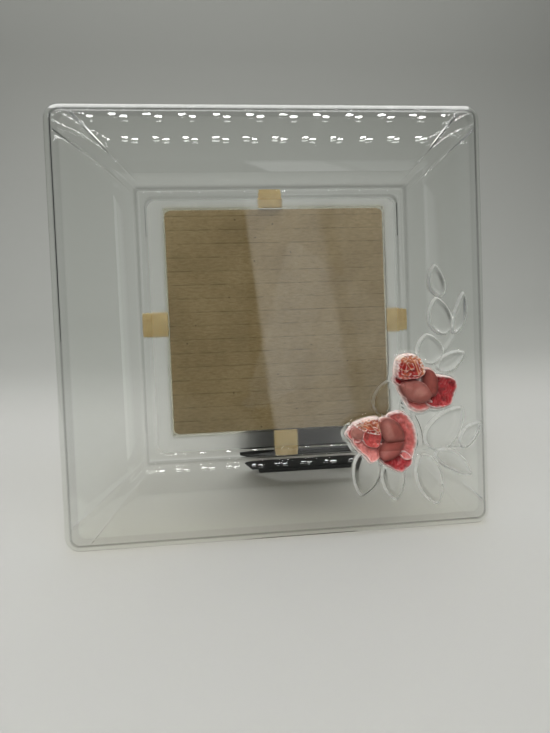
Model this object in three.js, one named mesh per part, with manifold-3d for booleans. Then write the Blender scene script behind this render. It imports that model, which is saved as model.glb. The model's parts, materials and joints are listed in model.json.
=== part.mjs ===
// Square pressed-glass picture frame that leans back on a folding easel leg.
// A corrugated card stands in a clear pocket behind the window, and two satin
// roses with clear leaves fill the lower right corner of the moulding.
// Millimetres, +Z up, the glass faces -Y. The origin is on the ground flat
// under the lower edge of the glass.
// Pieces on the face are drawn upright around the centre of the flat glass
// back: X across the face, Z up the face, -Y toward the viewer.

import * as THREE from 'three';
import Module from 'manifold-3d';
import { mergeVertices } from 'three/addons/utils/BufferGeometryUtils.js';

const wasm = await Module();
wasm.setup();

// Glass plate: outline and rim
const FRAME_SIZE = 203.2;
const OUTER_CORNER_RADIUS = 7;
const BACK_CHAMFER = 0.8;
const EDGE_HEIGHT = 2.6;
const RIM_BEVEL_WIDTH = 3.5;
const RIM_BEVEL_RISE = 3.6;
const RIM_BEVEL_BULGE = 0.2;
const CREASE_CORNER_RADIUS = 3.8;

// Glass plate: arched moulding, hollow behind, and window. The ridge is a share of
// the moulding's width in from the rim.
const RIDGE_SHARE = 0.7;
const RIDGE_HEIGHT = 11.5;
const RIDGE_CORNER_RADIUS = 1.4;
const MOULDING_THICKNESS = 4.8;
const WINDOW_CORNER_RADIUS = 1;
const LEDGE_HEIGHT = 6.5;
const LEDGE_WIDTH = 2.8;
const LEDGE_DROP = 0.7;
const LEDGE_BEVEL = 0.7;
const PANE_THICKNESS = 4.2;
const PANE_CORNER_RADIUS = 4;

// How the frame stands
const LEAN_DEG = 16.5;
const GROUND_DEPTH = 0.5;
const LEG_SPLAY_DEG = 9;
const EASEL_OFFSET = 15;

// Relief in the lower right corner. Places, widths and spreads across the face are in
// hundredths of the moulding's width, from the corner of the window. Petals, from the
// lowest up, are in shares of their bloom's spread and height.
const LEAF_LIFT = 1.6;
const LEAF_ROOT_DEPTH = 1.2;
const LEAF_VEIN_SHARE = 0.65;
const LEAF_SHOULDER_SHARE = 0.6;
const LEAF_OUTLINE_POWER = 0.75;
const LEAF_SWELL_POWER = 0.5;
const LEAF_TIP_SHARE = 0.02;
const STEM_SPREAD = 5.5;
const ROSE_HEIGHT = 7.4;
const UPPER_ROSE = {
  x: 17.5,
  z: 81,
  spread: 40,
  petals: [
    { x: 0.34, z: -0.37, across: 0.5, up: 0.47, height: 0.6 },
    { x: -0.3, z: -0.68, across: 0.38, up: 0.26, height: 0.55 },
    { x: -0.6, z: 0.05, across: 0.34, up: 0.25, height: 0.6 },
    { x: 0.05, z: -0.09, across: 0.24, up: 0.42, height: 0.8 },
    { x: -0.38, z: -0.34, across: 0.46, up: 0.37, height: 0.9 },
    { x: -0.5, z: 0.38, across: 0.42, up: 0.4, height: 1 },
  ],
};
const LOWER_ROSE = {
  x: -38.5,
  z: 7.5,
  spread: 42.5,
  petals: [
    { x: 0.6, z: 0.22, across: 0.4, up: 0.67, height: 0.6 },
    { x: 0.36, z: -0.47, across: 0.45, up: 0.3, height: 0.55 },
    { x: -0.4, z: -0.08, across: 0.44, up: 0.4, height: 0.6 },
    { x: -0.7, z: 0.34, across: 0.28, up: 0.3, height: 0.6 },
    { x: -0.34, z: 0.5, across: 0.43, up: 0.26, height: 0.85 },
    { x: -0.26, z: 0.2, across: 0.3, up: 0.33, height: 0.75 },
    { x: 0.27, z: -0.16, across: 0.41, up: 0.3, height: 0.9 },
    { x: 0.3, z: 0.38, across: 0.38, up: 0.38, height: 1 },
    { x: -0.64, z: 0.34, across: 0.22, up: 0.2, height: 0.8 },
  ],
};
const LEAVES = [
  { base: [37, 177.5], tip: [30, 215], width: 21 },
  { base: [42, 133], tip: [30.5, 177], width: 30 },
  { base: [52, 133.5], tip: [66.5, 183], width: 18.5 },
  { base: [24, 98.5], tip: [18.5, 135], width: 31.5 },
  { base: [30, 92.5], tip: [66.5, 111], width: 22 },
  { base: [17.5, 1.5], tip: [61.5, 46.5], width: 38.5 },
  { base: [57, 0], tip: [88.5, 26], width: 22 },
  { base: [25, -3.5], tip: [71, -35], width: 22.5 },
  { base: [10, -7], tip: [28, -68], width: 32 },
  { base: [-28, -9.5], tip: [-23, -59], width: 28.5 },
  { base: [-54.5, -1], tip: [-65, -51], width: 33 },
  { base: [-28, 37.5], tip: [-25, 81.5], width: 34 },
];
const STEMS = [
  { base: [6, -0.5], tip: [60, 0.5] },
  { base: [35.5, 112], tip: [53.5, 137] },
  { base: [-8, 52], tip: [10, 2.5] },
];

// Clearances
const SEAT_GAP = 0.3;
const GLUE_GAP = 0.2;
const RUNNING_GAP = 0.4;

// Corrugated card, a little right of and above the window's middle, and the clear
// border that the window has around it
const CARD_WIDTH = 102.8;
const CARD_HEIGHT = 103.8;
const CARD_SHIFT_X = 1.2;
const CARD_SHIFT_Z = 1.9;
const CARD_BORDER = 9.6;
const CARD_CORNER_RADIUS = 2.5;
const LINER_THICKNESS = 0.4;
const FLUTE_HEIGHT = 2.2;
const FLUTE_PITCH = 6.35;
const FLUTE_PAPER = 0.3;
const FLUTE_STEPS = 8;

// Clear pocket with its four bonded ears
const POCKET_FRONT = 1;
const POCKET_BACK = 1.6;
const POCKET_WALL = 1.2;
const POCKET_CORNER_RADIUS = 3;
const CARD_SIDE_GAP = 0.5;
const CARD_FACE_GAP = 0.35;
const THUMB_NOTCH_RADIUS = 11;
const EAR_WIDTH = 12;
const EAR_OVERLAP = 1.4;
const EAR_CORNER_RADIUS = 3.5;
const EAR_ROOT = 3;
const PAD_THICKNESS = 1.2;
const PAD_MARGIN = 0.4;

// Easel hinge
const HINGE_DROP = 35;
const HINGE_WIDTH = 38;
const KNUCKLE_COUNT = 5;
const KNUCKLE_RADIUS = 3.4;
const PIN_RADIUS = 1.25;
const PIN_HEAD_RADIUS = 2.2;
const PIN_HEAD_LENGTH = 1.2;
const BRACKET_THICKNESS = 1.6;
const BRACKET_BELOW_HINGE = 28;
const BRACKET_ABOVE_HINGE = 6.5;
const BRACKET_CORNER_RADIUS = 3;
const RIVET_RADIUS = 1.3;
const RIVET_HEAD_RADIUS = 2.6;
const RIVET_HEAD_HEIGHT = 1.1;
const RIVET_SHOULDER_SHARE = 0.8;
const RIVET_SHOULDER_RISE = 0.65;
const RIVET_EDGE = 7;
const RIVET_ROW_BELOW_HINGE = 9;

// Easel leg
const LEG_THICKNESS = 3;
const LEG_FOOT_WIDTH = 72;
const LEG_CUT_RUN = 13.5;
const LEG_CUT_RISE = 17;
const LEG_RIB_WIDTH = 3;
const LEG_RIB_HEIGHT = 1.6;
const FOOT_PAD_THICKNESS = 2.4;
const FOOT_PAD_DEPTH = 7;
const FOOT_PAD_SIDE = 3;

// Facet counts
const CORNER_STEPS = 4;
const BEVEL_STEPS = 3;
const OUTER_ARCH_STEPS = 8;
const INNER_ARCH_STEPS = 7;
const HOLLOW_STEPS = 6;
const ROUND_STEPS = 16;
const LEAF_STEPS = 8;
const PETAL_STEPS = 14;

// Sizes that follow from those above
const half = FRAME_SIZE / 2;
const windowHalf = Math.max(CARD_WIDTH, CARD_HEIGHT) / 2 + CARD_BORDER;
const mouldingWidth = half - windowHalf;
const ridgeHalf = half - RIDGE_SHARE * mouldingWidth;
const creaseHalf = half - RIM_BEVEL_WIDTH;
const reliefUnit = mouldingWidth / 100;
const lean = THREE.MathUtils.degToRad(LEAN_DEG);
const legSplay = THREE.MathUtils.degToRad(LEG_SPLAY_DEG);
const legOpen = lean + legSplay;
const cardThickness = 2 * LINER_THICKNESS + 2 * GLUE_GAP + FLUTE_HEIGHT;
const cavityDepth = cardThickness + 2 * CARD_FACE_GAP;
const cardLeft = CARD_SHIFT_X - CARD_WIDTH / 2;
const cardRight = CARD_SHIFT_X + CARD_WIDTH / 2;
const cardLow = CARD_SHIFT_Z - CARD_HEIGHT / 2;
const cardTop = CARD_SHIFT_Z + CARD_HEIGHT / 2;
const pocketMargin = CARD_SIDE_GAP + POCKET_WALL;
const pocketTop = cardTop + pocketMargin;
const paneRear = PANE_THICKNESS + LEDGE_DROP - LEDGE_HEIGHT;
const padFront = paneRear + GLUE_GAP;
const pocketFace = padFront + PAD_THICKNESS + GLUE_GAP;
const cavityFace = pocketFace + POCKET_FRONT;
const cavityRear = cavityFace + cavityDepth;
const pocketRear = cavityRear + POCKET_BACK;
const bracketFace = pocketRear + GLUE_GAP;
const bracketRear = bracketFace + BRACKET_THICKNESS;
const hingeY = bracketRear + KNUCKLE_RADIUS + RUNNING_GAP;
const hingeZ = pocketTop - HINGE_DROP;
const boreRadius = PIN_RADIUS + SEAT_GAP;

const FINISHES = {
  glass: { color: 0xc3c6c0, roughness: 0.05, metalness: 0 },
  satinRose: { color: 0xac5452, roughness: 0.5, metalness: 0 },
  clearPlastic: { color: 0xc6c4b6, roughness: 0.15, metalness: 0 },
  yellowedPad: { color: 0x9a8e70, roughness: 0.3, metalness: 0 },
  kraft: { color: 0x857d69, roughness: 0.9, metalness: 0 },
  flutePaper: { color: 0x7a6c52, roughness: 0.95, metalness: 0 },
  blackPlastic: { color: 0x1a1d1f, roughness: 0.45, metalness: 0 },
  steel: { color: 0x9fa2a4, roughness: 0.3, metalness: 1 },
  rubber: { color: 0x232425, roughness: 0.85, metalness: 0 },
};

// Solid helpers
function solid(geometry) {
  const bare = geometry.clone();
  bare.deleteAttribute('normal');
  bare.deleteAttribute('uv');
  const welded = mergeVertices(bare, 1e-4);
  return new wasm.Manifold(new wasm.Mesh({
    numProp: 3,
    vertProperties: new Float32Array(welded.attributes.position.array),
    triVerts: new Uint32Array(welded.index.array),
  }));
}

function geometryOf(manifold) {
  const mesh = manifold.getMesh();
  const geometry = new THREE.BufferGeometry();
  geometry.setAttribute('position', new THREE.BufferAttribute(mesh.vertProperties.slice(), 3));
  geometry.setIndex(new THREE.BufferAttribute(mesh.triVerts.slice(), 1));
  const faceted = geometry.toNonIndexed();
  faceted.computeVertexNormals();
  return faceted;
}

function unite(solids) {
  return solids.reduce((whole, piece) => whole.add(piece));
}

function cut(whole, cutters) {
  return cutters.reduce((rest, cutter) => rest.subtract(cutter), whole);
}

// A box given by its lower and upper corners.
function box(low, high) {
  const geometry = new THREE.BoxGeometry(high[0] - low[0], high[1] - low[1], high[2] - low[2]);
  geometry.translate((low[0] + high[0]) / 2, (low[1] + high[1]) / 2, (low[2] + high[2]) / 2);
  return solid(geometry);
}

// A round bar across the face, centred on y and z.
function barAcross(radius, from, to, y, z) {
  const geometry = new THREE.CylinderGeometry(radius, radius, to - from, ROUND_STEPS);
  geometry.rotateZ(Math.PI / 2);
  geometry.translate((from + to) / 2, y, z);
  return solid(geometry);
}

// A round bar through the face, centred on x and z.
function barThrough(radius, from, to, x, z) {
  const geometry = new THREE.CylinderGeometry(radius, radius, to - from, ROUND_STEPS);
  geometry.translate(x, (from + to) / 2, z);
  return solid(geometry);
}

function roundedShape(left, right, bottom, top, radii) {
  const [lowLeft, lowRight, highRight, highLeft] = radii;
  const shape = new THREE.Shape();
  shape.moveTo(left + lowLeft, bottom);
  shape.lineTo(right - lowRight, bottom);
  if (lowRight) shape.absarc(right - lowRight, bottom + lowRight, lowRight, -Math.PI / 2, 0);
  shape.lineTo(right, top - highRight);
  if (highRight) shape.absarc(right - highRight, top - highRight, highRight, 0, Math.PI / 2);
  shape.lineTo(left + highLeft, top);
  if (highLeft) shape.absarc(left + highLeft, top - highLeft, highLeft, Math.PI / 2, Math.PI);
  shape.lineTo(left, bottom + lowLeft);
  if (lowLeft) shape.absarc(left + lowLeft, bottom + lowLeft, lowLeft, Math.PI, 1.5 * Math.PI);
  return shape;
}

// A plate whose outline lies in the face plane, from depth y0 to y1.
function plate(shape, y0, y1) {
  const geometry = new THREE.ExtrudeGeometry(shape, {
    depth: y1 - y0,
    bevelEnabled: false,
    curveSegments: CORNER_STEPS,
  });
  geometry.rotateX(Math.PI / 2);
  geometry.translate(0, y1, 0);
  return solid(geometry);
}

// A closed skin over rings of equal point counts, fanned shut at both ends.
function loft(rings) {
  const count = rings[0].length;
  const positions = rings.flat().flatMap((point) => point.toArray());
  const index = [];
  for (let r = 0; r + 1 < rings.length; r += 1) {
    for (let i = 0; i < count; i += 1) {
      const a = r * count + i;
      const b = r * count + (i + 1) % count;
      index.push(a, b, b + count, a, b + count, a + count);
    }
  }
  [[0, true], [rings.length - 1, false]].forEach(([r, first]) => {
    const centre = positions.length / 3;
    const middle = new THREE.Vector3();
    rings[r].forEach((point) => middle.addScaledVector(point, 1 / count));
    positions.push(...middle.toArray());
    for (let i = 0; i < count; i += 1) {
      const a = r * count + i;
      const b = r * count + (i + 1) % count;
      index.push(centre, first ? b : a, first ? a : b);
    }
  });
  const geometry = new THREE.BufferGeometry();
  geometry.setAttribute('position', new THREE.Float32BufferAttribute(positions, 3));
  geometry.setIndex(index);
  return solid(geometry);
}

// Glass plate
function squareRing(halfSize, radius, height) {
  const ring = [];
  for (let corner = 0; corner < 4; corner += 1) {
    const turn = corner * Math.PI / 2;
    const centre = halfSize - radius;
    const sx = corner === 0 || corner === 3 ? 1 : -1;
    const sz = corner < 2 ? 1 : -1;
    for (let step = 0; step <= CORNER_STEPS; step += 1) {
      const angle = turn + step / CORNER_STEPS * Math.PI / 2;
      const x = sx * centre + radius * Math.cos(angle);
      const z = sz * centre + radius * Math.sin(angle);
      ring.push(new THREE.Vector3(x, -height, z));
    }
  }
  return ring;
}

// Corner rounding fades from the edge to the bevel's crease and on to the ridge,
// which draws the mitre strips.
function mouldingCorner(distance) {
  if (distance > creaseHalf) {
    const share = (distance - creaseHalf) / RIM_BEVEL_WIDTH;
    return THREE.MathUtils.lerp(CREASE_CORNER_RADIUS, OUTER_CORNER_RADIUS, share);
  }
  const share = (distance - ridgeHalf) / (creaseHalf - ridgeHalf);
  return THREE.MathUtils.lerp(RIDGE_CORNER_RADIUS, CREASE_CORNER_RADIUS, share);
}

// The arch between the ridge and a foot on one side of it.
function arch(foot, footHeight) {
  const run = foot - ridgeHalf;
  const drop = RIDGE_HEIGHT - footHeight;
  const radius = (run * run + drop * drop) / (2 * drop);
  return { radius, sweep: Math.asin(run / radius) };
}

// Points on an arch or on its hollow side, listed from the foot to the ridge.
function archPoints({ radius, sweep }, inset, steps) {
  const points = [];
  for (let step = 0; step < steps; step += 1) {
    const angle = sweep * (1 - step / steps);
    const distance = ridgeHalf + (radius - inset) * Math.sin(angle);
    points.push([distance, RIDGE_HEIGHT - radius + (radius - inset) * Math.cos(angle)]);
  }
  return points;
}

// A point of the rim's bevel, by its share of the way in from the edge.
function bevelPoint(share) {
  const bulge = RIM_BEVEL_BULGE * 4 * share * (1 - share);
  return [half - RIM_BEVEL_WIDTH * share, EDGE_HEIGHT + RIM_BEVEL_RISE * share + bulge];
}

// Both arches: outside from the crease at the rim's bevel, inside to the window.
const outerArch = arch(...bevelPoint(1));
const innerArch = arch(windowHalf, LEDGE_HEIGHT);

// Front profile as [distance from centre, height], from the rim inward.
function frontProfile() {
  const points = [];
  for (let step = 0; step < BEVEL_STEPS; step += 1) {
    points.push(bevelPoint(step / BEVEL_STEPS));
  }
  points.push(...archPoints(outerArch, 0, OUTER_ARCH_STEPS));
  points.push([ridgeHalf, RIDGE_HEIGHT]);
  points.push(...archPoints(innerArch, 0, INNER_ARCH_STEPS).reverse());
  const ledgeEnd = windowHalf - LEDGE_WIDTH;
  points.push([ledgeEnd, LEDGE_HEIGHT]);
  points.push([ledgeEnd - LEDGE_BEVEL, LEDGE_HEIGHT - LEDGE_DROP]);
  return points;
}

// Back profile, from the window outward: a hollow behind the moulding, then the
// flat ring that carries the rim.
function backProfile() {
  const hollowFloor = RIDGE_HEIGHT - MOULDING_THICKNESS;
  const innerRadius = innerArch.radius - MOULDING_THICKNESS;
  const outerRadius = outerArch.radius - MOULDING_THICKNESS;
  const innerSweep = -Math.acos(1 - (hollowFloor + paneRear) / innerRadius);
  const outerSweep = Math.acos(1 - hollowFloor / outerRadius);
  const inner = { radius: innerArch.radius, sweep: innerSweep };
  const outer = { radius: outerArch.radius, sweep: outerSweep };
  const points = archPoints(inner, MOULDING_THICKNESS, HOLLOW_STEPS);
  points.push([ridgeHalf, hollowFloor]);
  points.push(...archPoints(outer, MOULDING_THICKNESS, HOLLOW_STEPS).reverse());
  return points;
}

const profile = frontProfile();

function profileCorner(distance) {
  if (distance >= ridgeHalf) return mouldingCorner(distance);
  if (distance < windowHalf) return PANE_CORNER_RADIUS;
  const share = (distance - windowHalf) / (ridgeHalf - windowHalf);
  return THREE.MathUtils.lerp(WINDOW_CORNER_RADIUS, RIDGE_CORNER_RADIUS, share);
}

// Height of the glass front over the plane of the rim's back.
function surfaceHeight(x, z) {
  const distance = Math.max(Math.abs(x), Math.abs(z));
  const inner = profile.findIndex(([reach]) => reach <= distance);
  if (inner < 0) return profile[profile.length - 1][1];
  if (inner === 0) return profile[0][1];
  const [farReach, farHeight] = profile[inner - 1];
  const [nearReach, nearHeight] = profile[inner];
  const share = (distance - nearReach) / (farReach - nearReach);
  return THREE.MathUtils.lerp(nearHeight, farHeight, share);
}

// A point of the face given in relief units from the lower right corner of the window.
function fromCorner(x, z) {
  return [windowHalf + x * reliefUnit, z * reliefUnit - windowHalf];
}

// A leaf laid over the glass, pointed at both ends, with a sunk vein.
function leafSolid(leaf, raise) {
  const [baseX, baseZ] = fromCorner(...leaf.base);
  const [tipX, tipZ] = fromCorner(...leaf.tip);
  const length = Math.hypot(tipX - baseX, tipZ - baseZ);
  const halfWidth = leaf.width / 2 * reliefUnit;
  const along = [(tipX - baseX) / length, (tipZ - baseZ) / length];
  const shoulder = LEAF_SHOULDER_SHARE;
  const lanes = [[-1, 0], [-shoulder, 1], [0, LEAF_VEIN_SHARE], [shoulder, 1], [1, 0]];
  const rings = [];
  for (let step = 0; step <= LEAF_STEPS; step += 1) {
    const station = THREE.MathUtils.lerp(LEAF_TIP_SHARE, 1 - LEAF_TIP_SHARE, step / LEAF_STEPS);
    const reach = halfWidth * Math.sin(Math.PI * station) ** LEAF_OUTLINE_POWER;
    const place = (side, lift) => {
      const x = baseX + along[0] * length * station - along[1] * reach * side;
      const z = baseZ + along[1] * length * station + along[0] * reach * side;
      return new THREE.Vector3(x, -(surfaceHeight(x, z) + lift + raise), z);
    };
    const swell = LEAF_LIFT * Math.sin(Math.PI * station) ** LEAF_SWELL_POWER;
    const upper = lanes.map(([side, share]) => place(-side, swell * share));
    const lower = lanes.map(([side]) => place(side, -LEAF_ROOT_DEPTH));
    rings.push([...upper, ...lower]);
  }
  return loft(rings);
}

// The front of the glass with its leaves, raised to cut seats for what lies on it.
function frontRings(raise) {
  return profile.map(([distance, height]) => (
    squareRing(distance, profileCorner(distance), height + raise)
  ));
}

function reliefSolids(raise) {
  const stems = STEMS.map((stem) => ({ ...stem, width: STEM_SPREAD }));
  return [...LEAVES, ...stems].map((leaf) => leafSolid(leaf, raise));
}

function glassSolid() {
  const rings = backProfile().map(([distance, height]) => (
    squareRing(distance, profileCorner(distance), height)
  ));
  rings.push(squareRing(half - BACK_CHAMFER, OUTER_CORNER_RADIUS, 0));
  rings.push(squareRing(half, OUTER_CORNER_RADIUS, BACK_CHAMFER));
  const plain = loft([...rings, ...frontRings(0)]);
  return unite([plain, ...reliefSolids(0)]).subtract(groundCutter());
}

// Everything behind the front of the glass, a seat's gap proud of it.
function roseSeatSolid() {
  const rings = [squareRing(half, OUTER_CORNER_RADIUS, -ROSE_HEIGHT), ...frontRings(SEAT_GAP)];
  return unite([loft(rings), ...reliefSolids(SEAT_GAP)]);
}

// Everything below the table plane, in the face's own frame.
function groundCutter() {
  const reach = FRAME_SIZE;
  const geometry = new THREE.BoxGeometry(2 * reach, 2 * reach, 2 * reach);
  geometry.translate(0, 0, groundHeight - reach);
  geometry.rotateX(lean);
  return solid(geometry);
}

// Roses: petals as sunk flattened balls, seated on the front of the glass
function petalSolid(rose, petal) {
  const spread = rose.spread * reliefUnit;
  const [middleX, middleZ] = fromCorner(rose.x, rose.z);
  const x = middleX + petal.x * spread;
  const z = middleZ + petal.z * spread;
  const geometry = new THREE.SphereGeometry(1, PETAL_STEPS, PETAL_STEPS / 2);
  geometry.scale(petal.across * spread, petal.height * ROSE_HEIGHT, petal.up * spread);
  geometry.translate(x, -surfaceHeight(x, z), z);
  return solid(geometry);
}

function roseSolid(rose, seat) {
  return unite(rose.petals.map((petal) => petalSolid(rose, petal))).subtract(seat);
}

// Pocket ears and pads, drawn for the right side and turned to each side: the card's
// edge there, and how far the ear is set along it
const SIDES = [
  { name: 'right', turn: 0, edge: cardRight, along: 0 },
  { name: 'top', turn: 1, edge: cardTop, along: 1.3 },
  { name: 'left', turn: 2, edge: -cardLeft, along: -1.3 },
  { name: 'bottom', turn: 3, edge: -cardLow, along: 2.1 },
];

function sidePlate(inner, margin, y0, y1, { turn, along }) {
  const reach = windowHalf + EAR_OVERLAP - margin;
  const side = EAR_WIDTH / 2 - margin;
  const r = EAR_CORNER_RADIUS - margin;
  const shape = roundedShape(inner, reach, along - side, along + side, [0, r, r, 0]);
  return plate(shape, y0, y1).rotate([0, -90 * turn, 0]);
}

function pocketSolid() {
  const r = POCKET_CORNER_RADIUS;
  const outline = roundedShape(
    cardLeft - pocketMargin,
    cardRight + pocketMargin,
    cardLow - pocketMargin,
    pocketTop,
    [r, r, r, r],
  );
  const ears = SIDES.map((side) => (
    sidePlate(side.edge + pocketMargin - EAR_ROOT, 0, pocketFace, cavityFace, side)
  ));
  const cavity = box(
    [cardLeft - CARD_SIDE_GAP, cavityFace, cardLow - CARD_SIDE_GAP],
    [cardRight + CARD_SIDE_GAP, cavityRear, pocketTop + POCKET_WALL],
  );
  const notch = barThrough(
    THUMB_NOTCH_RADIUS,
    cavityRear - RUNNING_GAP,
    bracketFace,
    CARD_SHIFT_X,
    pocketTop,
  );
  const shell = unite([plate(outline, pocketFace, pocketRear), ...ears]);
  return cut(shell, [cavity, notch, ...rivetHoles(EASEL_OFFSET)]);
}

// Card sheets
function cardOutline() {
  const r = CARD_CORNER_RADIUS;
  return roundedShape(cardLeft, cardRight, cardLow, cardTop, [r, r, r, r]);
}

const cardFront = cavityFace + CARD_FACE_GAP;
const fluteFront = cardFront + LINER_THICKNESS + GLUE_GAP;
const backLinerFront = fluteFront + FLUTE_HEIGHT + GLUE_GAP;

function flutingSolid() {
  const swing = (FLUTE_HEIGHT - FLUTE_PAPER) / 2;
  const middle = fluteFront + FLUTE_HEIGHT / 2;
  const waves = Math.round(CARD_HEIGHT / FLUTE_PITCH);
  const count = waves * FLUTE_STEPS;
  const edge = (side) => (_, i) => {
    const z = cardLow + CARD_HEIGHT * i / count;
    const y = swing * Math.sin(2 * Math.PI * waves * i / count);
    return new THREE.Vector2(z, middle + y + side * FLUTE_PAPER / 2);
  };
  const stations = Array.from({ length: count + 1 });
  const outline = [...stations.map(edge(-1)), ...stations.map(edge(1)).reverse()];
  const geometry = new THREE.ExtrudeGeometry(new THREE.Shape(outline), {
    depth: CARD_WIDTH,
    bevelEnabled: false,
  });
  geometry.rotateY(-Math.PI / 2);
  geometry.translate(cardRight, 0, 0);
  return solid(geometry).intersect(plate(cardOutline(), cardFront, backLinerFront));
}

// Hinge: knuckles are numbered across, even ones on the bracket
const knucklePitch = HINGE_WIDTH / KNUCKLE_COUNT;

function knuckles(parity) {
  const spans = [];
  for (let i = 0; i < KNUCKLE_COUNT; i += 1) {
    const left = -HINGE_WIDTH / 2 + i * knucklePitch + RUNNING_GAP / 2;
    if (i % 2 === parity) spans.push([left, left + knucklePitch - RUNNING_GAP]);
  }
  return spans;
}

const rivetX = HINGE_WIDTH / 2 - RIVET_EDGE;
const rivetRows = [
  hingeZ - RIVET_ROW_BELOW_HINGE,
  hingeZ - BRACKET_BELOW_HINGE + RIVET_EDGE,
];
const RIVETS = rivetRows.flatMap((z) => [[-rivetX, z], [rivetX, z]]);

function rivetHoles(offset) {
  const radius = RIVET_RADIUS + SEAT_GAP;
  return RIVETS.map(([x, z]) => (
    barThrough(radius, cavityRear - RUNNING_GAP, bracketRear + RUNNING_GAP, x + offset, z)
  ));
}

function bracketSolid() {
  const w = HINGE_WIDTH / 2;
  const r = BRACKET_CORNER_RADIUS;
  const low = hingeZ - BRACKET_BELOW_HINGE;
  const high = hingeZ + BRACKET_ABOVE_HINGE;
  const pieces = [plate(roundedShape(-w, w, low, high, [r, r, r, r]), bracketFace, bracketRear)];
  knuckles(0).forEach(([left, right]) => {
    pieces.push(barAcross(KNUCKLE_RADIUS, left, right, hingeY, hingeZ));
    pieces.push(box(
      [left, bracketRear - BRACKET_THICKNESS / 2, hingeZ - KNUCKLE_RADIUS],
      [right, hingeY, hingeZ + KNUCKLE_RADIUS],
    ));
  });
  const bore = barAcross(boreRadius, -HINGE_WIDTH, HINGE_WIDTH, hingeY, hingeZ);
  return cut(unite(pieces), [bore, ...rivetHoles(0)]);
}

function latheSolid(points) {
  const outline = points.map(([radius, y]) => new THREE.Vector2(radius, y));
  return solid(new THREE.LatheGeometry(outline, ROUND_STEPS));
}

function rivetSolid([x, z]) {
  const seat = bracketRear + GLUE_GAP;
  const rise = RIVET_HEAD_HEIGHT;
  const rivet = latheSolid([
    [0, cavityRear],
    [RIVET_RADIUS, cavityRear],
    [RIVET_RADIUS, seat],
    [RIVET_HEAD_RADIUS, seat],
    [RIVET_SHOULDER_SHARE * RIVET_HEAD_RADIUS, seat + RIVET_SHOULDER_RISE * rise],
    [0, seat + rise],
  ]);
  return rivet.translate([x, 0, z]);
}

function pinSolid() {
  const end = HINGE_WIDTH / 2 + RUNNING_GAP;
  const pin = latheSolid([
    [0, -end - PIN_HEAD_LENGTH],
    [PIN_HEAD_RADIUS, -end - PIN_HEAD_LENGTH / 2],
    [PIN_HEAD_RADIUS, -end],
    [PIN_RADIUS, -end],
    [PIN_RADIUS, end],
    [PIN_HEAD_RADIUS, end],
    [PIN_HEAD_RADIUS, end + PIN_HEAD_LENGTH / 2],
    [0, end + PIN_HEAD_LENGTH],
  ]);
  return pin.rotate([0, 0, 90]).translate([0, hingeY, hingeZ]);
}

// Leg, drawn hanging from the hinge axis at its own origin
const centreHeight = half * Math.cos(lean) - BACK_CHAMFER * Math.sin(lean) - GROUND_DEPTH;
const groundHeight = -centreHeight;
const hingeHeight = centreHeight + hingeZ * Math.cos(lean) - hingeY * Math.sin(lean);
const legReach = hingeHeight / Math.cos(legSplay);

// The heel above the hinge meets the bracket at the open angle and stops the leg.
const heelReach = (KNUCKLE_RADIUS + RUNNING_GAP - SEAT_GAP - LEG_THICKNESS / 2 * Math.cos(legOpen))
  / Math.sin(legOpen);

// Everything lower than a height over the table, in the leg's own frame.
function tableCutter(height) {
  const reach = 2 * legReach;
  const geometry = new THREE.BoxGeometry(reach, reach, reach);
  geometry.translate(0, 0, height - hingeHeight - reach / 2);
  geometry.rotateX(-legSplay);
  return solid(geometry);
}

// The foot's lower left corner is cut off along a slant.
function legSolid() {
  const top = -KNUCKLE_RADIUS - RUNNING_GAP;
  const bottom = -legReach - LEG_THICKNESS;
  const w = HINGE_WIDTH / 2;
  const f = LEG_FOOT_WIDTH / 2;
  const t = LEG_THICKNESS / 2;
  const flare = (f - w) / (top - bottom);
  const slant = Math.hypot(LEG_CUT_RUN, LEG_CUT_RISE);
  const cutRun = (inset) => LEG_CUT_RUN + inset * slant / LEG_CUT_RISE;
  const cutRise = (inset) => LEG_CUT_RISE + inset * (slant - LEG_CUT_RISE) / LEG_CUT_RUN;
  const outline = (inset) => new THREE.Shape([
    new THREE.Vector2(-f + inset + flare * cutRise(inset), bottom + cutRise(inset)),
    new THREE.Vector2(-f + cutRun(inset), bottom),
    new THREE.Vector2(f - inset, bottom),
    new THREE.Vector2(w - inset + flare * inset, top - inset),
    new THREE.Vector2(-w + inset - flare * inset, top - inset),
  ]);
  const pieces = [plate(outline(0), -t, t + LEG_RIB_HEIGHT)];
  knuckles(1).forEach(([left, right]) => {
    pieces.push(barAcross(KNUCKLE_RADIUS, left, right, 0, 0));
    pieces.push(box([left, -t, top - t], [right, t, heelReach]));
  });
  const field = plate(outline(LEG_RIB_WIDTH), t, t + 2 * LEG_RIB_HEIGHT);
  const bore = barAcross(boreRadius, -HINGE_WIDTH, HINGE_WIDTH, 0, 0);
  return cut(unite(pieces), [field, bore, tableCutter(FOOT_PAD_THICKNESS + SEAT_GAP)]);
}

// Foot pad: a block under the end of the leg, flat on the table
function footPadSolid() {
  const left = LEG_CUT_RUN - LEG_FOOT_WIDTH / 2;
  const right = LEG_FOOT_WIDTH / 2 - FOOT_PAD_SIDE;
  const y = hingeHeight * Math.tan(legSplay);
  const low = -hingeHeight;
  const pad = box(
    [left, y - FOOT_PAD_DEPTH / 2, low],
    [right, y + FOOT_PAD_DEPTH / 2, low + FOOT_PAD_THICKNESS],
  );
  return pad.rotate([-LEG_SPLAY_DEG, 0, 0]);
}

// Assembly
function piece(name, manifold, finish) {
  const material = new THREE.MeshStandardMaterial(FINISHES[finish]);
  const mesh = new THREE.Mesh(geometryOf(manifold), material);
  mesh.name = name;
  return mesh;
}

function group(name, children) {
  const result = new THREE.Group();
  result.name = name;
  result.add(...children);
  return result;
}

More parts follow.
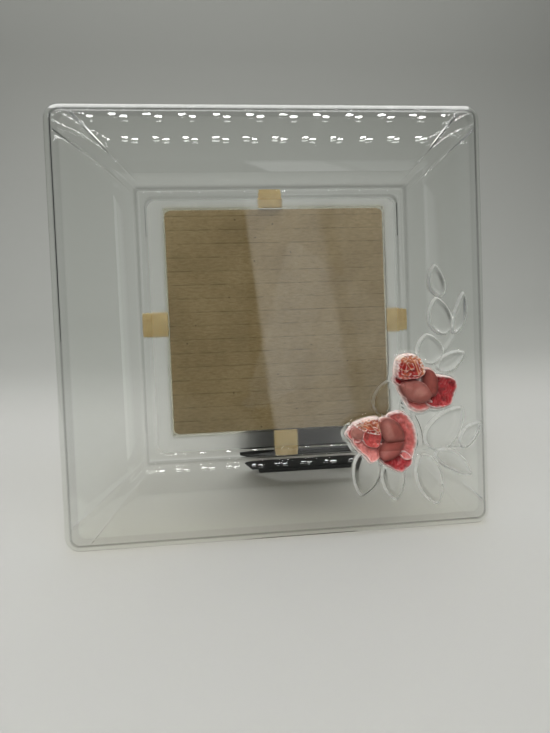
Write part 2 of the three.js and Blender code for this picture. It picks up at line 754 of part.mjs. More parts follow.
const roseSeat = roseSeatSolid();
const glass = group('glass', [
  piece('glass_body', glassSolid(), 'glass'),
  piece('rose_upper', roseSolid(UPPER_ROSE, roseSeat), 'satinRose'),
  piece('rose_lower', roseSolid(LOWER_ROSE, roseSeat), 'satinRose'),
]);

const pads = SIDES.map((side) => {
  const inner = side.edge + PAD_MARGIN;
  const pad = sidePlate(inner, PAD_MARGIN, padFront, padFront + PAD_THICKNESS, side);
  return piece(`bond_pad_${side.name}`, pad, 'yellowedPad');
});
const pocket = group('pocket', [piece('photo_pocket', pocketSolid(), 'clearPlastic'), ...pads]);

const card = group('card', [
  piece('card_front_liner', plate(cardOutline(), cardFront, cardFront + LINER_THICKNESS), 'kraft'),
  piece('card_fluting', flutingSolid(), 'flutePaper'),
  piece('card_back_liner', plate(cardOutline(), backLinerFront, backLinerFront + LINER_THICKNESS), 'kraft'),
]);

const hinge = group('hinge', [
  piece('hinge_bracket', bracketSolid(), 'blackPlastic'),
  piece('hinge_pin', pinSolid(), 'steel'),
  ...RIVETS.map((place, i) => piece(`bracket_rivet_${i + 1}`, rivetSolid(place), 'steel')),
]);

const leg = group('leg', [
  piece('easel_leg', legSolid(), 'blackPlastic'),
  piece('foot_pad', footPadSolid(), 'rubber'),
]);
hinge.position.x = EASEL_OFFSET;
leg.position.set(EASEL_OFFSET, hingeY, hingeZ);
leg.rotation.x = legOpen;

// The origin lies on the ground flat, midway across its part of the lower edge.
const groundRun = GROUND_DEPTH / Math.sin(lean);
const groundSeat = BACK_CHAMFER + groundRun / 2;
const face = group('face', [glass, pocket, card, hinge, leg]);
face.rotation.x = -lean;
face.position.set(0, half * Math.sin(lean) + groundSeat * Math.cos(lean), centreHeight);

export default group('glass_picture_frame', [face]);
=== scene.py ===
"""Pressed-glass picture frame with satin roses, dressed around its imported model.

Lengths in the classes are millimetres in the face's own frame: u across the
face, v up the face and n out of the face toward the viewer, from the centre of
the plane of the rim's back. Meshes are placed in metres in the row frame.
"""

from __future__ import annotations

import json
import logging
import math
from dataclasses import dataclass, field
from enum import Enum
from typing import Callable, Sequence

import bpy
import numpy as np
from mathutils import Matrix, Vector

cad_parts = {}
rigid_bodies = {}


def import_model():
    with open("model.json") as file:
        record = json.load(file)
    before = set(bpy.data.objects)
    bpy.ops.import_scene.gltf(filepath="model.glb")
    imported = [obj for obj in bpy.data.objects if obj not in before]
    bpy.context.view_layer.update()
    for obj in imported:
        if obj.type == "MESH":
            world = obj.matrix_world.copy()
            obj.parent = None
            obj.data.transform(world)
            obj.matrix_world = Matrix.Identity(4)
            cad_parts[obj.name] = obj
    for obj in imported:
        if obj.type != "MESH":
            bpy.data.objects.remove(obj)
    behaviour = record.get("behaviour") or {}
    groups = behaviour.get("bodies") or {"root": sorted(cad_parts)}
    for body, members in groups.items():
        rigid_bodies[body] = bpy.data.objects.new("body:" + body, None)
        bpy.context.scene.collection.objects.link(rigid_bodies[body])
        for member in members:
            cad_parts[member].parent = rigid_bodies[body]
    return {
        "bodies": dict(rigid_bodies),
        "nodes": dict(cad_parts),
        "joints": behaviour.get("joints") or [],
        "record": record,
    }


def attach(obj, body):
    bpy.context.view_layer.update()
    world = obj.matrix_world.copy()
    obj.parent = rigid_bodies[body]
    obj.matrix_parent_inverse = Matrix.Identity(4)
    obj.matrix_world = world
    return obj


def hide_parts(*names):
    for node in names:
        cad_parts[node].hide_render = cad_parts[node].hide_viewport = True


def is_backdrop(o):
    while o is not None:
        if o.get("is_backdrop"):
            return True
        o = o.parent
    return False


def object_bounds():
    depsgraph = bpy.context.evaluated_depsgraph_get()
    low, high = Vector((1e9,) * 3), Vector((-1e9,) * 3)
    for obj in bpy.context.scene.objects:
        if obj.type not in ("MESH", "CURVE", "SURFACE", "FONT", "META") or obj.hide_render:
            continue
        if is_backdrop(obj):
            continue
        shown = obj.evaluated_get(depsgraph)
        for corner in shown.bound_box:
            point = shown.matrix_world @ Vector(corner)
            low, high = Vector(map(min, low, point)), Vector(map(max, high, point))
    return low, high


LOG = logging.getLogger("glass_frame")
MM = 0.001
IMAGE_HEIGHT = 733

PER_CENT = 100.0
MERGE = 1e-7
LOOSE_MERGE = 2e-6
FAR = 99.0
TOUCH = 1e-5
FLAT_DEG = 1.0
BOUNCES = 24
GLOSSY_BOUNCES = 10
WAVES, WAVE_TURN, WAVE_SHIFT, WAVE_SUM = 5, 2.4, 1.7, 2.4
WAVE_PACE, WAVE_GROWTH = 0.75, 0.14

# Settings of a Mix node for colours, whose result is its third output
MIXED = {"out": 2, "data_type": "RGBA"}
MULTIPLIED = {**MIXED, "blend_type": "MULTIPLY"}
# Sockets of a Map Range node, for the limits of a span
SPAN = ("From Min", "From Max", "To Min", "To Max")

Points = np.ndarray
Colour = tuple[float, float, float, float]
Pair = tuple[float, float]
Triple = tuple[float, float, float]
Span = tuple[float, ...]
Stops = tuple[tuple[float, str], ...]
Constants = tuple[tuple[str, float | str], ...]
Look = tuple[np.ndarray, np.ndarray, np.ndarray]
Socket = bpy.types.NodeSocket
Tree = bpy.types.NodeTree
Material = bpy.types.Material
Piece = bpy.types.Object
Mesh = bpy.types.Mesh


class Body(Enum):
    """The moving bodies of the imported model."""

    FRAME = "frame"
    CARD = "card"
    LEG = "leg"


class Slot(Enum):
    """The record's material slots."""

    GLASS = "glass_clear"
    ROSE = "glass_satin_pink"
    ACRYLIC = "plastic_clear"
    PAD = "pad_yellowed"
    KRAFT = "board_kraft"
    FLUTE = "board_flute"
    BLACK = "plastic_black"
    STEEL = "steel_bright"
    RUBBER = "rubber_black"


class Tone(Enum):
    """How a petal is finished."""

    BUD = "orange heart"
    SATIN = "matte satin"
    DEEP = "deep red"
    BLUSH = "pale pink"


# Helpers for shapes


def smoothstep(low: float, high: float, x: Points) -> Points:
    """Hermite step of x from 0 at low to 1 at high."""
    t = np.clip((x - low) / (high - low), 0.0, 1.0)
    return t * t * (3.0 - 2.0 * t)


def bell(x: Points, width: float) -> Points:
    """Bell curve of x: 1 at 0 and close to 0 past twice the width."""
    return np.exp(-((x / width) ** 2))


def dome(x: Points, width: float) -> Points:
    """Half circle over x: 1 at 0 and 0 from the width on."""
    return np.sqrt(np.clip(1.0 - (x / width) ** 2, 0.0, 1.0))


def blend(first: Points, second: Points, share: Points) -> Points:
    """Mixes two colours by a share at each point."""
    return first + (second - first) * np.asarray(share)[..., None]


def mottle(u: Points, v: Points, size: float, seed: float) -> Points:
    """Smooth patches from -1 to 1, drawn from a few crossing waves.

    Args:
        u, v: distances across and up the face.
        size: usual width of a patch and its neighbour.
        seed: shifts the pattern.

    Returns:
        The patch value at each point.
    """
    total = np.zeros(np.shape(u))
    for wave in range(WAVES):
        turn = WAVE_TURN * wave + seed
        pace = 2.0 * math.pi / size * (WAVE_PACE + WAVE_GROWTH * wave)
        total += np.sin((u * math.cos(turn) + v * math.sin(turn)) * pace + WAVE_SHIFT * seed * wave)
    return np.clip(total / WAVE_SUM, -1.0, 1.0)


def path_lengths(path: Points) -> Points:
    """Length along a path up to each of its points."""
    return np.concatenate([[0.0], np.cumsum(np.linalg.norm(np.diff(path, axis=0), axis=1))])


def point_along(path: Points, length: float) -> Points:
    """The point a length along a path."""
    reach = path_lengths(path)
    return np.array([np.interp(length, reach, path[:, axis]) for axis in range(2)])


def closed_curve(corners: Points, steps: int = 6) -> Points:
    """A smooth closed curve through corner points.

    Args:
        corners: the corner points, one row each.
        steps: points from one corner to the next.

    Returns:
        The curve's points, one row each.
    """
    before, after, beyond = (np.roll(corners, shift, axis=0) for shift in (1, -1, -2))
    t = (np.arange(steps) / steps)[None, :, None]
    a, b, c, d = (k[:, None, :] for k in (before, corners, after, beyond))
    curve = 0.5 * (
        2.0 * b
        + (c - a) * t
        + (2.0 * a - 5.0 * b + 4.0 * c - d) * t**2
        + (3.0 * b - a - 3.0 * c + d) * t**3
    )
    return curve.reshape(-1, 2)


def open_curve(corners: Points, steps: int = 10) -> Points:
    """A smooth curve from the first to the last of three points, drawn toward the second."""
    t = np.linspace(0.0, 1.0, steps + 1)[:, None]
    return (1 - t) ** 2 * corners[0] + 2 * t * (1 - t) * corners[1] + t**2 * corners[2]


def path_distance(path: Points, u: Points, v: Points) -> Points:
    """Distance of points from a path of straight steps.

    Args:
        path: the path's points, one row each.
        u, v: distances across and up the face.

    Returns:
        The distance at each point.
    """
    best = np.full(np.shape(u), np.inf)
    for start, end in zip(path[:-1], path[1:]):
        du, dv = end - start
        share = np.clip(((u - start[0]) * du + (v - start[1]) * dv) / (du * du + dv * dv), 0.0, 1.0)
        best = np.minimum(best, np.hypot(u - start[0] - share * du, v - start[1] - share * dv))
    return best


def inset_depth(outline: Points, u: Points, v: Points) -> Points:
    """Distance of points inside a closed outline, negative outside.

    Args:
        outline: the outline's points, one row each.
        u, v: distances across and up the face.

    Returns:
        The depth at each point.
    """
    ring = np.concatenate([outline, outline[:1]])
    inside = np.zeros(np.shape(u), bool)
    for start, end in zip(ring[:-1], ring[1:]):
        rise = end[1] - start[1]
        crosses = (start[1] > v) != (end[1] > v)
        inside ^= crosses & (u < start[0] + (v - start[1]) * (end[0] - start[0]) / (rise or 1e-9))
    return np.where(inside, 1.0, -1.0) * path_distance(ring, u, v)


@dataclass(frozen=True)
class FaceFrame:
    """Where the leaning face stands in the row frame.

    Args:
        half: half of the glass plate's side.
        lean_deg: how far the face leans back.
        chamfer: chamfer on the rim's back edge.
        ground: depth of the flat ground on the lower edge.
    """

    half: float = 101.6
    lean_deg: float = 16.5
    chamfer: float = 0.8
    ground: float = 0.5

    @property
    def lean(self) -> float:
        """The lean in radians."""
        return math.radians(self.lean_deg)

    @property
    def centre(self) -> Pair:
        """Where the face's centre is over the ground flat.

        Returns:
            Depth and height in millimetres.
        """
        sine, cosine = math.sin(self.lean), math.cos(self.lean)
        seat = self.chamfer + self.ground / sine / 2.0
        height = self.half * cosine - self.chamfer * sine - self.ground
        return self.half * sine + seat * cosine, height

    def to_row(self, u: Points, v: Points, n: Points) -> Points:
        """Places points of the face in the row frame.

        Args:
            u, v: distances across and up the face.
            n: distance out of the face.

        Returns:
            An array of points in metres, one row each.
        """
        depth, height = self.centre
        sine, cosine = math.sin(self.lean), math.cos(self.lean)
        y = -n * cosine + v * sine + depth
        z = n * sine + v * cosine + height
        return np.stack(np.broadcast_arrays(u, y, z), axis=-1) * MM

    def matrix(self) -> Matrix:
        """Turns a mesh drawn in metres as (u, -n, v) into the row frame.

        Returns:
            The matrix that does so.
        """
        depth, height = self.centre
        turn = Matrix.Rotation(-self.lean, 4, "X")
        return Matrix.Translation((0.0, depth * MM, height * MM)) @ turn


FACE = FaceFrame()


def deselect() -> None:
    """Leaves object mode with nothing selected."""
    if bpy.context.object and bpy.context.object.mode != "OBJECT":
        bpy.ops.object.mode_set(mode="OBJECT")
    bpy.ops.object.select_all(action="DESELECT")


def activate(piece: Piece) -> None:
    """Makes a piece the only selected and the active object.

    Args:
        piece: the object.
    """
    deselect()
    piece.select_set(True)
    bpy.context.view_layer.objects.active = piece


def edit_all(piece: Piece) -> None:
    """Opens a piece in edit mode with all of it selected.

    Args:
        piece: the object.
    """
    activate(piece)
    bpy.ops.object.mode_set(mode="EDIT")
    bpy.ops.mesh.select_all(action="SELECT")


def coordinates(mesh: Mesh) -> Points:
    """Vertex positions of a mesh.

    Args:
        mesh: the mesh.

    Returns:
        The positions, one row each.
    """
    flat = np.empty(len(mesh.vertices) * 3, np.float32)
    mesh.vertices.foreach_get("co", flat)
    return flat.reshape(-1, 3).astype(float)


def set_coordinates(mesh: Mesh, points: Points) -> None:
    """Moves all vertices of a mesh."""
    mesh.vertices.foreach_set("co", np.ascontiguousarray(points, np.float32).ravel())
    mesh.update()


def select_edges(piece: Piece, wanted: Callable[[Vector, Vector], bool]) -> None:
    """Selects the edges whose two ends pass a test, in object mode.

    Args:
        piece: the object in object mode.
        wanted: test on the two end points.
    """
    mesh = piece.data
    mesh.polygons.foreach_set("select", [False] * len(mesh.polygons))
    mesh.vertices.foreach_set("select", [False] * len(mesh.vertices))
    chosen = [
        wanted(mesh.vertices[e.vertices[0]].co, mesh.vertices[e.vertices[1]].co)
        for e in mesh.edges
    ]
    mesh.edges.foreach_set("select", chosen)


def bevel_edges(
    piece: Piece,
    wanted: Callable[[Vector, Vector], bool],
    offset: float,
    segments: int,
) -> None:
    """Rounds chosen edges with the bevel operator.

    Args:
        piece: the object to shape.
        wanted: test on an edge's two end points.
        offset: bevel width in millimetres.
        segments: facets across the bevel.
    """
    activate(piece)
    bpy.ops.object.mode_set(mode="EDIT")
    bpy.ops.mesh.select_mode(type="EDGE")
    bpy.ops.mesh.select_all(action="DESELECT")
    bpy.ops.object.mode_set(mode="OBJECT")
    select_edges(piece, wanted)
    bpy.ops.object.mode_set(mode="EDIT")
    bpy.ops.mesh.bevel(offset=offset * MM, segments=segments, profile=0.5)
    bpy.ops.object.mode_set(mode="OBJECT")


def bevel_all(piece: Piece, width: float, segments: int, angle_deg: float) -> None:
    """Rounds every edge sharper than an angle, through an applied Bevel modifier.

    Args:
        piece: the object to shape.
        width: bevel width in millimetres.
        segments: facets across the bevel.
        angle_deg: edges turning less than this stay.
    """
    activate(piece)
    rounding = piece.modifiers.new("rounding", "BEVEL")
    rounding.width = width * MM
    rounding.segments = segments
    rounding.limit_method = "ANGLE"
    rounding.angle_limit = math.radians(angle_deg)
    rounding.use_clamp_overlap = True
    bpy.ops.object.modifier_apply(modifier=rounding.name)


def smooth(piece: Piece, angle_deg: float = 40.0) -> None:
    """Shades a piece smooth apart from edges sharper than an angle."""
    activate(piece)
    bpy.ops.object.shade_smooth_by_angle(angle=math.radians(angle_deg))


def place_on_face(piece: Piece) -> None:
    """Moves a mesh drawn as (u, -n, v) in metres onto the leaning face."""
    piece.data.transform(FACE.matrix())
    piece.data.update()


def swept_shell(name: str, points: Points, layers: dict[str, Points]) -> Piece:
    """Lays a grid primitive out as a closed skin of rings and caps both ends.

    Args:
        name: the piece's name.
        points: row-frame points by ring and by place in the ring.
        layers: colour attributes by name, with a colour for each point.

    Returns:
        The new object.
    """
    rows, columns = points.shape[:2]
    deselect()
    bpy.ops.mesh.primitive_grid_add(x_subdivisions=columns, y_subdivisions=rows - 1, size=1.0)
    piece = bpy.context.object
    piece.name = name
    flat = coordinates(piece.data)
    column = np.rint((flat[:, 0] + 0.5) * columns).astype(int) % columns
    row = np.rint((flat[:, 1] + 0.5) * (rows - 1)).astype(int)
    set_coordinates(piece.data, points[row, column])
    for label, colours in layers.items():
        layer = piece.data.attributes.new(label, "FLOAT_COLOR", "POINT")
        full = np.concatenate([colours[row, column], np.ones((len(row), 1))], axis=1)
        layer.data.foreach_set("color", np.ascontiguousarray(full, np.float32).ravel())
    edit_all(piece)
    bpy.ops.mesh.remove_doubles(threshold=MERGE)
    bpy.ops.mesh.select_all(action="DESELECT")
    bpy.ops.mesh.select_mode(type="EDGE")
    bpy.ops.mesh.select_non_manifold(
        extend=False, use_multi_face=False, use_non_contiguous=False, use_verts=False
    )
    bpy.ops.mesh.fill_holes(sides=0)
    bpy.ops.mesh.select_all(action="SELECT")
    bpy.ops.mesh.normals_make_consistent(inside=False)
    bpy.ops.object.mode_set(mode="OBJECT")
    bpy.ops.object.shade_smooth()
    return piece


def softened_copy(
    node: Piece,
    name: str,
    width: float,
    segments: int = 2,
    angle_deg: float = 35.0,
) -> Piece:
    """Copies a node's mesh, merges it and rounds its edges.

    Args:
        node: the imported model's object, which stays as it is.
        name: the new piece's name.
        width: edge rounding in millimetres.
        segments: facets across the rounding.
        angle_deg: edges turning less than this stay.

    Returns:
        The new object.
    """
    piece = bpy.data.objects.new(name, node.data.copy())
    bpy.context.scene.collection.objects.link(piece)
    piece.data.materials.clear()
    edit_all(piece)
    bpy.ops.mesh.customdata_custom_splitnormals_clear()
    bpy.ops.mesh.remove_doubles(threshold=LOOSE_MERGE)
    bpy.ops.mesh.dissolve_limited(angle_limit=math.radians(FLAT_DEG))
    bpy.ops.object.mode_set(mode="OBJECT")
    bevel_all(piece, width, segments, angle_deg)
    smooth(piece)
    return piece


def finish_piece(
    piece: Piece,
    body: Body,
    slot: Slot,
    material: Material,
    *nodes: str,
) -> None:
    """Gives a piece its material and body, and hides the nodes that it stands for.

    Args:
        piece: the finished mesh object.
        body: the body it rides on.
        slot: the record's slot for its finish; not used.
        material: its material.
        nodes: names of the nodes that it replaces.
    """
    deselect()
    piece.data.materials.clear()
    piece.data.materials.append(material)
    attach(piece, body.value)
    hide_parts(*nodes)
    LOG.info("%s: %d faces on %s", piece.name, len(piece.data.polygons), body.value)


# Helpers for materials


def linear(hex_colour: str) -> Colour:
    """Turns an sRGB hex value into a linear colour with full alpha.

    Args:
        hex_colour: the value as #RRGGBB.

    Returns:
        Red, green, blue and alpha.
    """
    parts = [int(hex_colour[i : i + 2], 16) / 255.0 for i in (1, 3, 5)]
    red, green, blue = (c / 12.92 if c <= 0.04045 else ((c + 0.055) / 1.055) ** 2.4 for c in parts)
    return red, green, blue, 1.0


def per_mm(size: float) -> float:
    """Texture scale on Object coordinates for a feature of that many millimetres."""
    return 1.0 / (size * MM)


def plain_value(value: object) -> object:
    """A socket's value, with an sRGB hex value made linear."""
    return linear(value) if isinstance(value, str) else value


def add_node(
    tree: Tree,
    kind: str,
    inputs: dict | None = None,
    out: int | str = 0,
    stops: Sequence[tuple[float, str | Colour]] = (),
    **settings,
) -> Socket | None:
    """Adds a node, sets its settings and links or sets its inputs.

    Args:
        tree: the material's or world's node tree.
        kind: the node's type name after ShaderNode.
        inputs: socket name or number to a value, a hex colour or another node's output.
        out: name or number of the wanted output.
        stops: positions and colours of a colour ramp.
        settings: attributes of the node.

    Returns:
        The wanted output, or None for a node without outputs.
    """
    node = tree.nodes.new("ShaderNode" + kind)
    for name, value in settings.items():
        setattr(node, name, value)
    for name, value in (inputs or {}).items():
        if isinstance(value, Socket):
            tree.links.new(value, node.inputs[name])
        else:
            node.inputs[name].default_value = plain_value(value)
    for index, (position, colour) in enumerate(stops):
        elements = node.color_ramp.elements
        element = elements[index] if index < len(elements) else elements.new(position)
        element.position, element.color = position, plain_value(colour)
    return node.outputs[out] if len(node.outputs) else None


def let_lamps_through(tree: Tree, surface: Socket, tint: str) -> Socket:
    """Lets direct lamp light pass a clear surface, so that what lies behind it is lit.

    Args:
        tree: the material's tree.
        surface: its glass shader.
        tint: colour of the light that passes one surface.

    Returns:
        The shader that does so.
    """
    shadow = add_node(tree, "LightPath", out="Is Shadow Ray")
    clear = add_node(tree, "BsdfTransparent", {"Color": tint})
    return add_node(tree, "MixShader", {0: shadow, 1: surface, 2: clear})


def face_coordinates(tree: Tree) -> Socket:
    """Object coordinates turned upright with the face, in metres."""
    place = add_node(tree, "TexCoord", out="Object")
    return add_node(tree, "Mapping", {"Vector": place, "Rotation": (FACE.lean, 0.0, 0.0)})


# Finishes


@dataclass(frozen=True)
class Finish:
    """A material, named for what the real one is and how its surface was made."""

    name: str = "plain"

    def build(self) -> Material:
        """Makes the material.

        Returns:
            The material with its shader and output.
        """
        material = bpy.data.materials.new(self.name)
        material.use_nodes = True
        tree = material.node_tree
        tree.nodes.clear()
        add_node(tree, "OutputMaterial", {"Surface": self.surface(tree)})
        return material

    def surface(self, tree: Tree) -> Socket:
        """Adds the finish's nodes to a tree and gives its shader."""
        return add_node(tree, "BsdfPrincipled")


@dataclass(frozen=True)
class PressedGlass(Finish):
    """Clear soda-lime glass, pressed in a mould and fire polished.

    The eye sees a colourless, very glossy body whose surface wanders a little,
    so straight reflections run slightly wavy. The leaves' faces and a ring behind
    the window's border are satined, and the leaves' outlines are frosted white,
    as the mesh's satin attribute says. Its tone attribute carries painted shade:
    a grey on the rim and at the foot of the inner wall, in place of dark refracted
    lines there.
    """

    name: str = "soda_lime_glass_pressed"
    tint: str = "#F6F8F5"
    shade: str = "#DEDAD0"
    ior: float = 1.52
    wave: float = 16.0
    wave_depth: float = 0.02
    peel: float = 2.6
    peel_depth: float = 0.0012
    frosting: Span = (0.55, 0.85, 1.0, 0.4)

    def surface(self, tree: Tree) -> Socket:
        """Adds the glass, waved by two sizes of bump.

        Args:
            tree: the material's tree.

        Returns:
            Its shader.
        """
        # painted shade: the tone attribute greys the rim and the foot of the inner wall
        tone = add_node(tree, "Attribute", out="Color", attribute_name="tone")
        satin = add_node(tree, "Attribute", out="Fac", attribute_name="satin")
        clear = add_node(tree, "MapRange", {"Value": satin, **dict(zip(SPAN, self.frosting))})
        place = add_node(tree, "TexCoord", out="Object")
        bend: dict[str, Socket] = {}
        for size, depth, detail in ((self.wave, self.wave_depth, 0.0), (self.peel, self.peel_depth, 1.0)):
            noise = add_node(tree, "TexNoise", {"Vector": place, "Scale": per_mm(size), "Detail": detail})
            bump = {"Height": noise, "Strength": 1.0, "Distance": depth * MM, **bend}
            bend = {"Normal": add_node(tree, "Bump", bump)}
        looks = {
            "Base Color": add_node(tree, "Mix", {0: 1.0, 6: self.tint, 7: tone}, **MULTIPLIED),
            "Roughness": satin,
            "IOR": self.ior,
            "Transmission Weight": clear,
        }
        glass = add_node(tree, "BsdfPrincipled", {**looks, **bend})
        return let_lamps_through(tree, glass, self.shade)


@dataclass(frozen=True)
class SatinRoseGlass(Finish):
    """Pink-stained glass, acid satined on the broad petals and bright in the folds.

    The eye sees greyish matte petal faces, wet-looking red folds with pale veins
    between them, an orange heart with gold threads, and rims that fade to white,
    as the mesh's stain and satin attributes say. The stain also carries painted
    shade in the troughs and beside higher petals, and painted light on the satin
    petals.
    """

    name: str = "stained_satin_glass"
    ior: float = 1.52
    cloud: float = 2.2
    clouds: Stops = ((0.3, "#E4DEDE"), (0.7, "#FFFFFF"))
    glow: float = 0.2
    glow_reach: Triple = (1.0, 0.4, 0.35)
    glow_depth: float = 1.2
    grit: float = 0.4
    grit_depth: float = 0.02
    grit_strength: float = 0.3

    def surface(self, tree: Tree) -> Socket:
        """Adds the stained glass with its clouds and grit.

        Args:
            tree: the material's tree.

        Returns:
            Its shader.
        """
        stain = add_node(tree, "Attribute", out="Color", attribute_name="stain")
        place = add_node(tree, "TexCoord", out="Object")
        patch = add_node(tree, "TexNoise", {"Vector": place, "Scale": per_mm(self.cloud), "Detail": 3.0})
        cloud = add_node(tree, "ValToRGB", {"Fac": patch}, stops=self.clouds)
        grain = add_node(tree, "TexNoise", {"Vector": place, "Scale": per_mm(self.grit), "Detail": 2.0})
        grit = {"Height": grain, "Strength": self.grit_strength, "Distance": self.grit_depth * MM}
        looks = {
            "Base Color": add_node(tree, "Mix", {0: 1.0, 6: stain, 7: cloud}, **MULTIPLIED),
            "Roughness": add_node(tree, "Attribute", out="Fac", attribute_name="satin"),
            "IOR": self.ior,
            "Subsurface Weight": self.glow,
            "Subsurface Radius": self.glow_reach,
            "Subsurface Scale": self.glow_depth * MM,
            "Normal": add_node(tree, "Bump", grit),
        }
        return add_node(tree, "BsdfPrincipled", looks)


@dataclass(frozen=True)
class ClearAcrylic(Finish):
    """Clear cast acrylic sheet, a little yellowed, with fine upright rub marks."""

    name: str = "acrylic_clear"
    tint: str = "#F3F1E8"
    ior: float = 1.49
    rub: float = 0.9
    rub_stretch: float = 0.08
    haze: Span = (0.55, 0.85, 0.03, 0.09)

    def surface(self, tree: Tree) -> Socket:
        """Adds the clear sheet with its rub marks.

        Args:
            tree: the material's tree.

        Returns:
            Its shader.
        """
        upright = {"Vector": face_coordinates(tree), "Scale": (1.0, 1.0, self.rub_stretch)}
        streak = add_node(tree, "Mapping", upright)
        rub = add_node(tree, "TexNoise", {"Vector": streak, "Scale": per_mm(self.rub), "Detail": 2.0})
        looks = {
            "Base Color": self.tint,
            "Roughness": add_node(tree, "MapRange", {"Value": rub, **dict(zip(SPAN, self.haze))}),
            "IOR": self.ior,
            "Transmission Weight": 1.0,
        }
        return let_lamps_through(tree, add_node(tree, "BsdfPrincipled", looks), self.tint)


@dataclass(frozen=True)
class KraftLiner(Finish):
    """Unbleached recycled kraft liner on corrugated board.

    The eye sees an olive-brown felted sheet with short fibres along the machine
    direction, faint dark flecks, and a thin broken dark line over each flute,
    where the board is crushed, darkened further as painted shade in the crease.
    """

    name: str = "kraft_liner_board"
    felt: Stops = ((0.3, "#988A70"), (0.5, "#A6987F"), (0.72, "#B1A48D"))
    clouds: Stops = ((0.35, "#EDEBE6"), (0.65, "#FFFFFF"))
    # flute line colour: crushed board, and painted shade in the liner's crease
    line: str = "#665A40"
    fleck: str = "#3A3226"
    roughness: float = 0.86
    specular: float = 0.25
    fibre: float = 0.9
    fibre_stretch: float = 0.3
    fibre_noise: float = 0.65
    fibre_depth: float = 0.05
    fibre_strength: float = 0.4
    cloud: float = 17.0
    flute_pitch: float = 6.35
    line_edge: Span = (0.012, 0.05, 1.0, 0.0)
    line_break: float = 5.0
    line_stretch: float = 3.0
    line_shares: Span = (0.43, 0.62, 0.08, 0.65)
    fleck_spacing: float = 4.2
    fleck_edge: Span = (0.05, 0.11, 0.85, 0.0)
    fleck_rarity: float = 0.72

    def surface(self, tree: Tree) -> Socket:
        """Adds the felted sheet with its lines and flecks.

        Args:
            tree: the material's tree.

        Returns:
            Its shader.
        """
        place = face_coordinates(tree)
        along = add_node(tree, "Mapping", {"Vector": place, "Scale": (self.fibre_stretch, 1.0, 1.0)})
        strands = {"Vector": along, "Scale": per_mm(self.fibre), "Detail": 4.0}
        fibre = add_node(tree, "TexNoise", {**strands, "Roughness": self.fibre_noise})
        cloud = add_node(tree, "TexNoise", {"Vector": place, "Scale": per_mm(self.cloud), "Detail": 2.0})
        felt = add_node(tree, "ValToRGB", {"Fac": fibre}, stops=self.felt)
        shade = add_node(tree, "ValToRGB", {"Fac": cloud}, stops=self.clouds)
        colour = add_node(tree, "Mix", {0: 1.0, 6: felt, 7: shade}, **MULTIPLIED)
        marks = ((self.flute_lines(tree, place), self.line), (self.flecks(tree, place), self.fleck))
        for share, mark in marks:
            colour = add_node(tree, "Mix", {0: share, 6: colour, 7: mark}, **MIXED)
        nap = {"Height": fibre, "Strength": self.fibre_strength, "Distance": self.fibre_depth * MM}
        looks = {
            "Base Color": colour,
            "Roughness": self.roughness,
            "Specular IOR Level": self.specular,
            "Normal": add_node(tree, "Bump", nap),
        }
        return add_node(tree, "BsdfPrincipled", looks)

    def flute_lines(self, tree: Tree, place: Socket) -> Socket:
        """Share of a thin broken dark line over each flute: crushed board, with painted shade in the crease.

        Args:
            tree: the material's tree.
            place: upright coordinates in metres.

        Returns:
            The socket with the share.
        """
        upward = add_node(tree, "SeparateXYZ", {"Vector": place}, "Z")
        scaled = add_node(tree, "Math", {0: upward, 1: per_mm(self.flute_pitch)}, operation="MULTIPLY")
        phase = add_node(tree, "Math", {0: scaled, 1: 0.5}, operation="PINGPONG")
        line = add_node(tree, "MapRange", {"Value": phase, **dict(zip(SPAN, self.line_edge))})
        dashes = add_node(tree, "Mapping", {"Vector": place, "Scale": (1.0, 1.0, self.line_stretch)})
        gaps = add_node(tree, "TexNoise", {"Vector": dashes, "Scale": per_mm(self.line_break), "Detail": 2.0})
        broken = add_node(tree, "MapRange", {"Value": gaps, **dict(zip(SPAN, self.line_shares))})
        return add_node(tree, "Math", {0: line, 1: broken}, operation="MULTIPLY")

    def flecks(self, tree: Tree, place: Socket) -> Socket:
        """Share of rare dark bark flecks.

        Args:
            tree: the material's tree.
            place: upright coordinates in metres.

        Returns:
            The socket with the share.
        """
        spacing = {"Vector": place, "Scale": per_mm(self.fleck_spacing), "Randomness": 1.0}
        middle = add_node(tree, "TexVoronoi", spacing, "Distance")
        spot = add_node(tree, "MapRange", {"Value": middle, **dict(zip(SPAN, self.fleck_edge))})
        chance = add_node(tree, "SeparateColor", {"Color": middle.node.outputs["Color"]})
        rare = add_node(tree, "Math", {0: chance, 1: self.fleck_rarity}, operation="GREATER_THAN")
        return add_node(tree, "Math", {0: spot, 1: rare}, operation="MULTIPLY")


